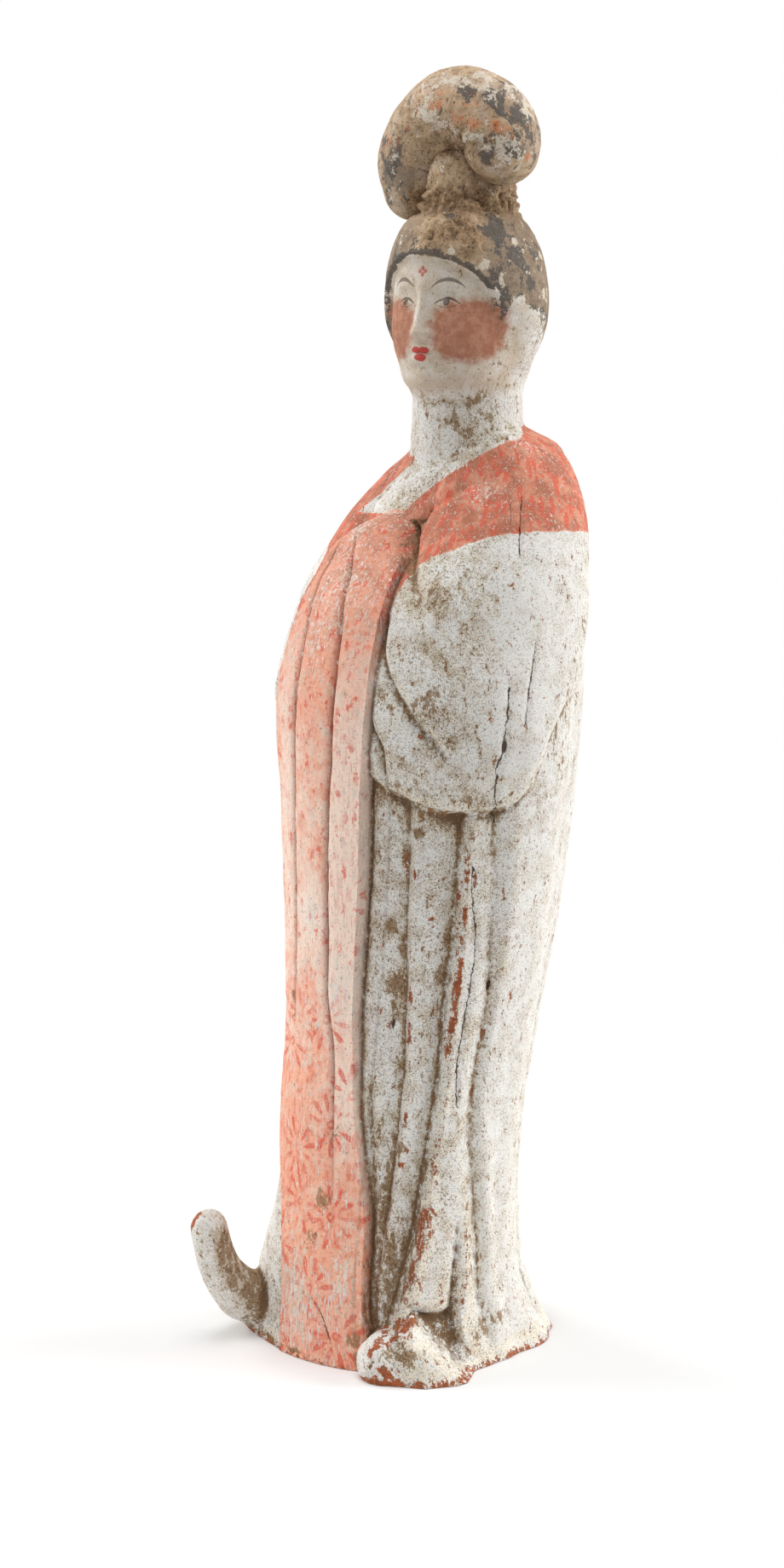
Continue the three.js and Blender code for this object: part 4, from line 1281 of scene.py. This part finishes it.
# The noises that break up the paint: scale, detail, roughness and stretch.
paintNoises = {
    "broad": (0.02, 2.0, 0.55),
    "patchy": (0.06, 4.0, 0.6),
    "mottle": (0.16, 4.0, 0.6),
    "torn": (0.17, 5.0, 0.76, (1.0, 1.0, 0.6)),
    "grit": (0.45, 4.0, 0.8),
    "fine": (1.1, 2.0, 0.7),
    "streaks": (0.5, 4.0, 0.7, (1.0, 1.0, 0.16)),
    "locks": (0.11, 5.0, 0.7, (1.0, 1.0, 0.8)),
    "flakes": (0.13, 5.0, 0.72),
}
# How far the ones that make patches stray from a half.
noiseSpreads = {"broad": 0.08, "patchy": 0.075, "torn": 0.062, "grit": 0.063, "fine": 0.081, "streaks": 0.07,
                "locks": 0.065, "flakes": 0.064}


def figureMaterial():
    material = bpy.data.materials.new("paintedPottery")
    material.use_nodes = True
    tree = material.node_tree
    tree.nodes.clear()
    coordinates = put(tree, "ShaderNodeTexCoord").outputs["Object"]
    place = vectorCalc(tree, "SCALE", coordinates, 1 / unit)
    noises = {name: noiseOf(tree, place, *settings) for name, settings in paintNoises.items()}
    broad, patchy, mottle = noises["broad"], noises["patchy"], noises["mottle"]
    torn, grit, fine, streaks = noises["torn"], noises["grit"], noises["fine"], noises["streaks"]

    def field(name, output="Fac"):
        # A value kept on the mesh.
        made = put(tree, "ShaderNodeAttribute", attribute_name=name, attribute_type="GEOMETRY")
        return made.outputs[output]

    def inside(name, broadReach, fineReach, broadNoise=mottle):
        return use(tree, ragged, {"Inside": field(name), "Broad": broadNoise, "Fine": grit,
                                  "Broad Reach": broadReach, "Fine Reach": fineReach}, "Mask")

    def cover(name, amount, soft):
        values = {"Noise": noises[name], "Spread": noiseSpreads[name], "Amount": amount, "Soft": soft}
        return use(tree, covering, values, "Mask")

    def ramp(value, low, high):
        return between(tree, value, low, high)

    def product(*values):
        return times(tree, *values)

    def plus(first, factor, second):
        return calc(tree, "MULTIPLY_ADD", first, factor, second)

    def opposite(value):
        return calc(tree, "SUBTRACT", 1.0, value)

    def larger(first, second):
        return calc(tree, "MAXIMUM", first, second)

    def lay(under, name, *masks):
        # A coat of a colour, as thick as the masks let it be.
        return blend(tree, product(*masks), under, colours[name])

    onFace = field("onFace")
    calm = plus(onFace, -0.5, 1.0)
    earthSeen = product(field("earth"), calm)
    shade, deep = field("shade"), field("deep")
    clusters = ramp(patchy, 0.42, 0.62)

    # The slip, white with a warm film and a rosy cast in places, gritty all over. The film is laid thicker in
    # the broad hollows as painted shade; the cream on the ridges is a painted highlight.
    stirred = opposite(product(field("quiet"), 0.75))
    slip = lay(colours["slip"], "slipWarm", ramp(patchy, 0.44, 0.62), plus(stirred, 0.4, 0.1))
    slip = lay(slip, "slipRosy", ramp(broad, 0.5, 0.64), ramp(mottle, 0.5, 0.6), 0.5)
    filmAndShadeAmount = plus(earthSeen, 0.5, plus(shade, 0.45, product(stirred, plus(clusters, 0.16, 0.1))))
    slip = lay(slip, "filmAndShade", cover("torn", filmAndShadeAmount, 1.2), 0.6)
    slip = lay(slip, "fleck", cover("grit", 0.3, 1.0), stirred, 0.22)
    # A painted highlight in cream on the ridges.
    slip = lay(slip, "ridgeHighlight", field("ridgeHighlight"), ramp(mottle, 0.4, 0.55), 0.7)

    # Pigment on the panel and the shawl.
    panelMask = inside("panelIn", 2.0, 3.0)
    shawlMask = inside("shawlIn", 3.0, 3.0)
    pigment = larger(panelMask, shawlMask)
    paling = plus(field("pale"), 0.42, calc(tree, "ADD", product(streaks, 0.6), product(patchy, 0.4)))
    salmon = lay(colours["salmon"], "salmonPale", ramp(paling, 0.48, 0.72))
    salmon = lay(salmon, "salmonDeep", ramp(mottle, 0.48, 0.66), ramp(paling, 0.75, 0.5), 0.7)
    salmon = lay(salmon, "salmonDeep", ramp(streaks, 0.5, 0.6), plus(paling, -0.7, 0.9))
    salmon = lay(salmon, "salmonDusk", field("dusk"), plus(cover("patchy", 0.5, 1.4), 0.55, 0.42))

    # Flowers low on the panel, dabs and smears above them, small flowers and dabs on the shawl.
    cloth = field("clothPlace", "Vector")

    def flowers(scale, radius, petals):
        values = {"Place": cloth, "Scale": scale, "Radius": radius, "Petals": petals}
        return use(tree, blossoms, values, "Mask")

    strokes = use(tree, dabs, {"Place": cloth, "Scale": 0.105, "Size": 0.27}, "Mask")
    low = ramp(put(tree, "ShaderNodeSeparateXYZ", {0: cloth}).outputs[1], 320.0, 250.0)
    motifLow = larger(flowers(0.0195, 26.0, 11.0), product(strokes, 0.4))
    smears = product(ramp(streaks, 0.54, 0.6), 0.8)
    motifMiddle = larger(product(strokes, ramp(mottle, 0.5, 0.56)), smears)
    motifPanel = larger(product(motifLow, low), product(motifMiddle, 0.92, opposite(low)))
    motifHigh = larger(product(flowers(0.04, 10.0, 7.0), 0.8), product(strokes, 0.9))
    motif = larger(product(motifPanel, panelMask), product(motifHigh, shawlMask))
    motifKept = product(ramp(patchy, 0.68, 0.46), plus(ramp(grit, 0.6, 0.46), 0.4, 0.45))
    salmon = lay(salmon, "vermilion", motif, motifKept)
    # Painted shade in the panel's grooves.
    salmon = lay(salmon, "salmonGrooveShade", field("grooveShade"), 0.9)

    # The pigment is worn down to the slip in places.
    wear = plus(field("wear"), 0.38, plus(panelMask, 0.08, plus(clusters, 0.12, 0.07)))
    worn = larger(cover("streaks", wear, 0.3), cover("fine", product(wear, 0.6), 0.2))
    colour = blend(tree, product(pigment, plus(worn, -0.8, 1.0)), slip, salmon)
    colour = lay(colour, "fleck", pigment, cover("grit", 0.24, 1.0), 0.16)
    # Painted shade in dark earth colour along the creases, the valley beside the panel's edge and the sleeve
    # folds.
    creaseShade = product(field("creaseShade"), ramp(torn, 0.42, 0.54), 0.85)
    colour = lay(colour, "earthAndShadeDark", larger(product(field("foldLineShade"), ramp(mottle, 0.3, 0.5), 0.9), creaseShade))

    # The painted face.
    painted = use(tree, facePaint, {"Place": field("facePlace", "Vector"), "Wobble": mottle, "Ragged": grit})
    colour = lay(colour, "skinFilm", onFace, ramp(patchy, 0.1, 0.6), 0.62)
    rouge = lay(colours["rouge"], "rougePale", ramp(mottle, 0.4, 0.64))
    rougeMask = product(painted["Rouge"], onFace, plus(cover("fine", 0.2, 0.3), -0.5, 0.95))
    colour = blend(tree, rougeMask, colour, rouge)
    colour = lay(colour, "lips", painted["Lips"], onFace, 0.92)
    colour = lay(colour, "line", painted["Lines"], onFace, plus(mottle, -0.6, 1.1))

    # Hair, its black worn to brown, with dark, pale and rusty remains.
    hairMask = inside("hairIn", 34.0, 14.0, patchy)
    rusty, whitish, bluish = put(tree, "ShaderNodeSeparateXYZ", {0: field("hairTone", "Vector")}).outputs
    crust, bun = field("crustIn"), field("bun")
    hair = lay(colours["hairBrown"], "hair", ramp(mottle, 0.36, 0.56))
    hair = lay(hair, "hairWarm", ramp(rusty, 0.1, 0.9), 0.8)
    hair = lay(hair, "hairWash", cover("patchy", plus(whitish, 0.5, 0.26), 0.8), bun, 0.5)
    hair = lay(hair, "soot", cover("broad", plus(bluish, 0.6, 0.16), 0.7), bun, 0.6)
    hair = lay(hair, "soot", field("sooty"), plus(patchy, 0.9, 0.45))
    # Painted shade: the hair is browner in its broad hollows.
    hair = lay(hair, "hairBrown", shade, 0.4)
    hair = lay(hair, "crust", crust, 0.85)
    hair = lay(hair, "hairDark", cover("locks", plus(bluish, 0.8, plus(crust, -0.15, 0.1)), 0.2), 0.88)
    hair = lay(hair, "hairPale", cover("flakes", plus(whitish, 0.75, 0.05), 0.18), 0.88)
    hair = lay(hair, "rusty", cover("torn", plus(rusty, 0.75, -0.1), 0.3), 0.88)
    hair = lay(hair, "fleckDark", cover("grit", plus(crust, 0.26, 0.16), 0.3), 0.65)
    hair = lay(hair, "hairPale", cover("fine", 0.16, 0.2), 0.45)
    # Painted shade in the crevices of the crust.
    hair = lay(hair, "creviceShade", field("creviceShade"), 0.8)
    colour = blend(tree, hairMask, colour, hair)

    # Bare clay at edges and chips.
    clayNoise = calc(tree, "ADD", plus(torn, 5.0, -2.5), plus(grit, 2.5, -1.25))
    clayMask = ramp(calc(tree, "ADD", plus(pigment, -0.4, field("clay")), clayNoise), 0.6, 0.75)
    clayMask = product(clayMask, opposite(onFace))
    colour = blend(tree, clayMask, colour, lay(colours["clay"], "clayDeep", ramp(mottle, 0.35, 0.65)))

    # Earth in torn patches where the earth values are high, with dark cores where the hollows are deepest.
    bare = opposite(product(hairMask, 0.7))
    earthAmount = plus(pigment, -0.07, plus(earthSeen, 0.62, -0.02))
    patches = cover("torn", calc(tree, "MINIMUM", earthAmount, 0.72), 0.2)
    earthColour = lay(colours["earth"], "fleck", ramp(grit, 0.45, 0.6))
    colour = blend(tree, product(patches, bare, 0.8), colour, earthColour)
    colour = lay(colour, "earthAndShadeDark", cover("grit", product(earthSeen, deep, 0.9), 0.5), 0.75)

    # Flecks and fine dots over everything.
    fleckAmount = product(plus(earthSeen, 0.2, product(stirred, plus(clusters, 0.12, 0.12))), calm)
    unpainted = plus(pigment, -0.9, 1.0)
    flecks = cover("grit", plus(product(fleckAmount, unpainted), 1.0, product(pigment, -0.1)), 0.25)
    colour = lay(colour, "fleck", flecks, 0.75)
    dots = cover("fine", plus(clusters, 0.12, plus(stirred, 0.14, 0.1)), 0.2)
    colour = lay(colour, "fleckDark", dots, bare, calm, unpainted, 0.7)

    # Cracks are thin dark lines that waver.
    waver = plus(mottle, 5.0, plus(grit, 2.0, -3.5))
    side = calc(tree, "ABSOLUTE", calc(tree, "ADD", field("crackSide"), waver))
    gap = calc(tree, "SUBTRACT", plus(ramp(torn, 0.38, 0.6), 0.6, 0.14), side)
    crackMask = product(ramp(gap, -0.1, 0.2), ramp(field("crackNear"), 0.4, 0.8))
    crackMask = larger(crackMask, ramp(field("pit"), 0.4, 0.6))
    colour = lay(colour, "crack", crackMask, 0.92)

    height = plus(grit, plus(crust, 2.2, 1.0), plus(mottle, 0.5, product(fine, 0.6)))
    height = plus(crackMask, -1.5, plus(clayMask, -0.4, height))
    relief = put(tree, "ShaderNodeBump", {"Strength": 0.7, "Distance": 0.0005, "Height": height})
    shader = put(tree, "ShaderNodeBsdfPrincipled", {"Base Color": colour, "Roughness": plus(fine, 0.12, 0.78),
                                                   "Normal": relief.outputs[0], "Specular IOR Level": 0.25})
    put(tree, "ShaderNodeOutputMaterial", {"Surface": shader.outputs[0]})
    return material


figure.data.materials.clear()
figure.data.materials.append(figureMaterial())
selectOnly(figure)
bpy.ops.object.shade_smooth_by_angle(angle=math.radians(50))
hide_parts("figure")
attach(figure, "root")

print("setting the stage")


def floorMaterial():
    material = bpy.data.materials.new("paperFloor")
    material.use_nodes = True
    tree = material.node_tree
    tree.nodes.clear()
    coordinates = put(tree, "ShaderNodeTexCoord").outputs["Object"]
    distance = vectorCalc(tree, "LENGTH", coordinates)
    cloudy = noiseOf(tree, coordinates, 3.0, 3.0, 0.55)
    tone = blend(tree, cloudy, (0.86, 0.86, 0.86, 1), (0.88, 0.88, 0.88, 1))
    shader = put(tree, "ShaderNodeBsdfPrincipled", {"Base Color": tone, "Roughness": 0.9,
                                                   "Alpha": between(tree, distance, 0.9, 0.25)})
    put(tree, "ShaderNodeOutputMaterial", {"Surface": shader.outputs[0]})
    return material


bpy.ops.object.select_all(action="DESELECT")
bpy.ops.mesh.primitive_circle_add(vertices=96, radius=1.2, fill_type="TRIFAN", location=(0, 0, -0.0002))
floor = bpy.context.object
floor.name = "studio_floor"
floor.data.materials.append(floorMaterial())

bpy.context.scene.view_settings.view_transform = "Standard"
world = bpy.data.worlds.new("studio")
world.use_nodes = True
sky = world.node_tree
sky.nodes.clear()
seen = put(sky, "ShaderNodeLightPath").outputs["Is Camera Ray"]
ambient = 0.26  # the light from all round; the camera sees white
glow = calc(sky, "MULTIPLY_ADD", seen, 1.0 - ambient, ambient)
backdrop = put(sky, "ShaderNodeBackground", {"Color": (1.0, 1.0, 1.0, 1.0), "Strength": glow})
put(sky, "ShaderNodeOutputWorld", {"Surface": backdrop.outputs[0]})
bpy.context.scene.world = world

# Broad soft lights, each (name, place, size, power), all aimed at the middle of the figure.
lightAim = Vector((0, 0, 0.22))
lights = [
    ("rightLight", (0.95, 1.3, 0.75), 1.3, 29.0),
    ("leftLight", (-1.5, -0.45, 0.8), 1.3, 24.0),
    ("frontLight", (0.6, -1.6, 1.5), 1.0, 7.5),
    ("topLight", (0.1, -0.2, 1.8), 1.0, 14.0),
]
for name, location, size, power in lights:
    light = bpy.data.lights.new(name, "AREA")
    light.size = size
    light.energy = power
    lamp = bpy.data.objects.new(name, light)
    lamp.location = location
    lamp.rotation_euler = (lightAim - Vector(location)).to_track_quat("-Z", "Y").to_euler()
    bpy.context.collection.objects.link(lamp)

# The camera looks from 45 degrees to the figure's left and a little from above, as the photo does.
view = {
    "frameHeight": 1840,  # in pixels, as the two after it
    "focal": 3866,
    "shift": 30,  # how far the figure stands to the right of the middle
    "azimuth": 45,
    "pitch": 8.9,
    "reach": 1.1,
    "height": 0.362,
}
camera = bpy.data.objects.new("camera", bpy.data.cameras.new("camera"))
bpy.context.collection.objects.link(camera)
camera.data.sensor_fit = "VERTICAL"
camera.data.sensor_height = 36
camera.data.lens = view["focal"] / view["frameHeight"] * 36
camera.data.clip_start = 0.05
camera.data.dof.use_dof = False
azimuth, pitch = math.radians(view["azimuth"]), math.radians(view["pitch"])
heading = azimuth + math.atan(view["shift"] / view["focal"])
camera.location = (view["reach"] * math.sin(azimuth), -view["reach"] * math.cos(azimuth), view["height"])
look = Vector((-math.sin(heading) * math.cos(pitch), math.cos(heading) * math.cos(pitch), -math.sin(pitch)))
camera.rotation_euler = look.to_track_quat("-Z", "Y").to_euler()
bpy.context.scene.camera = camera
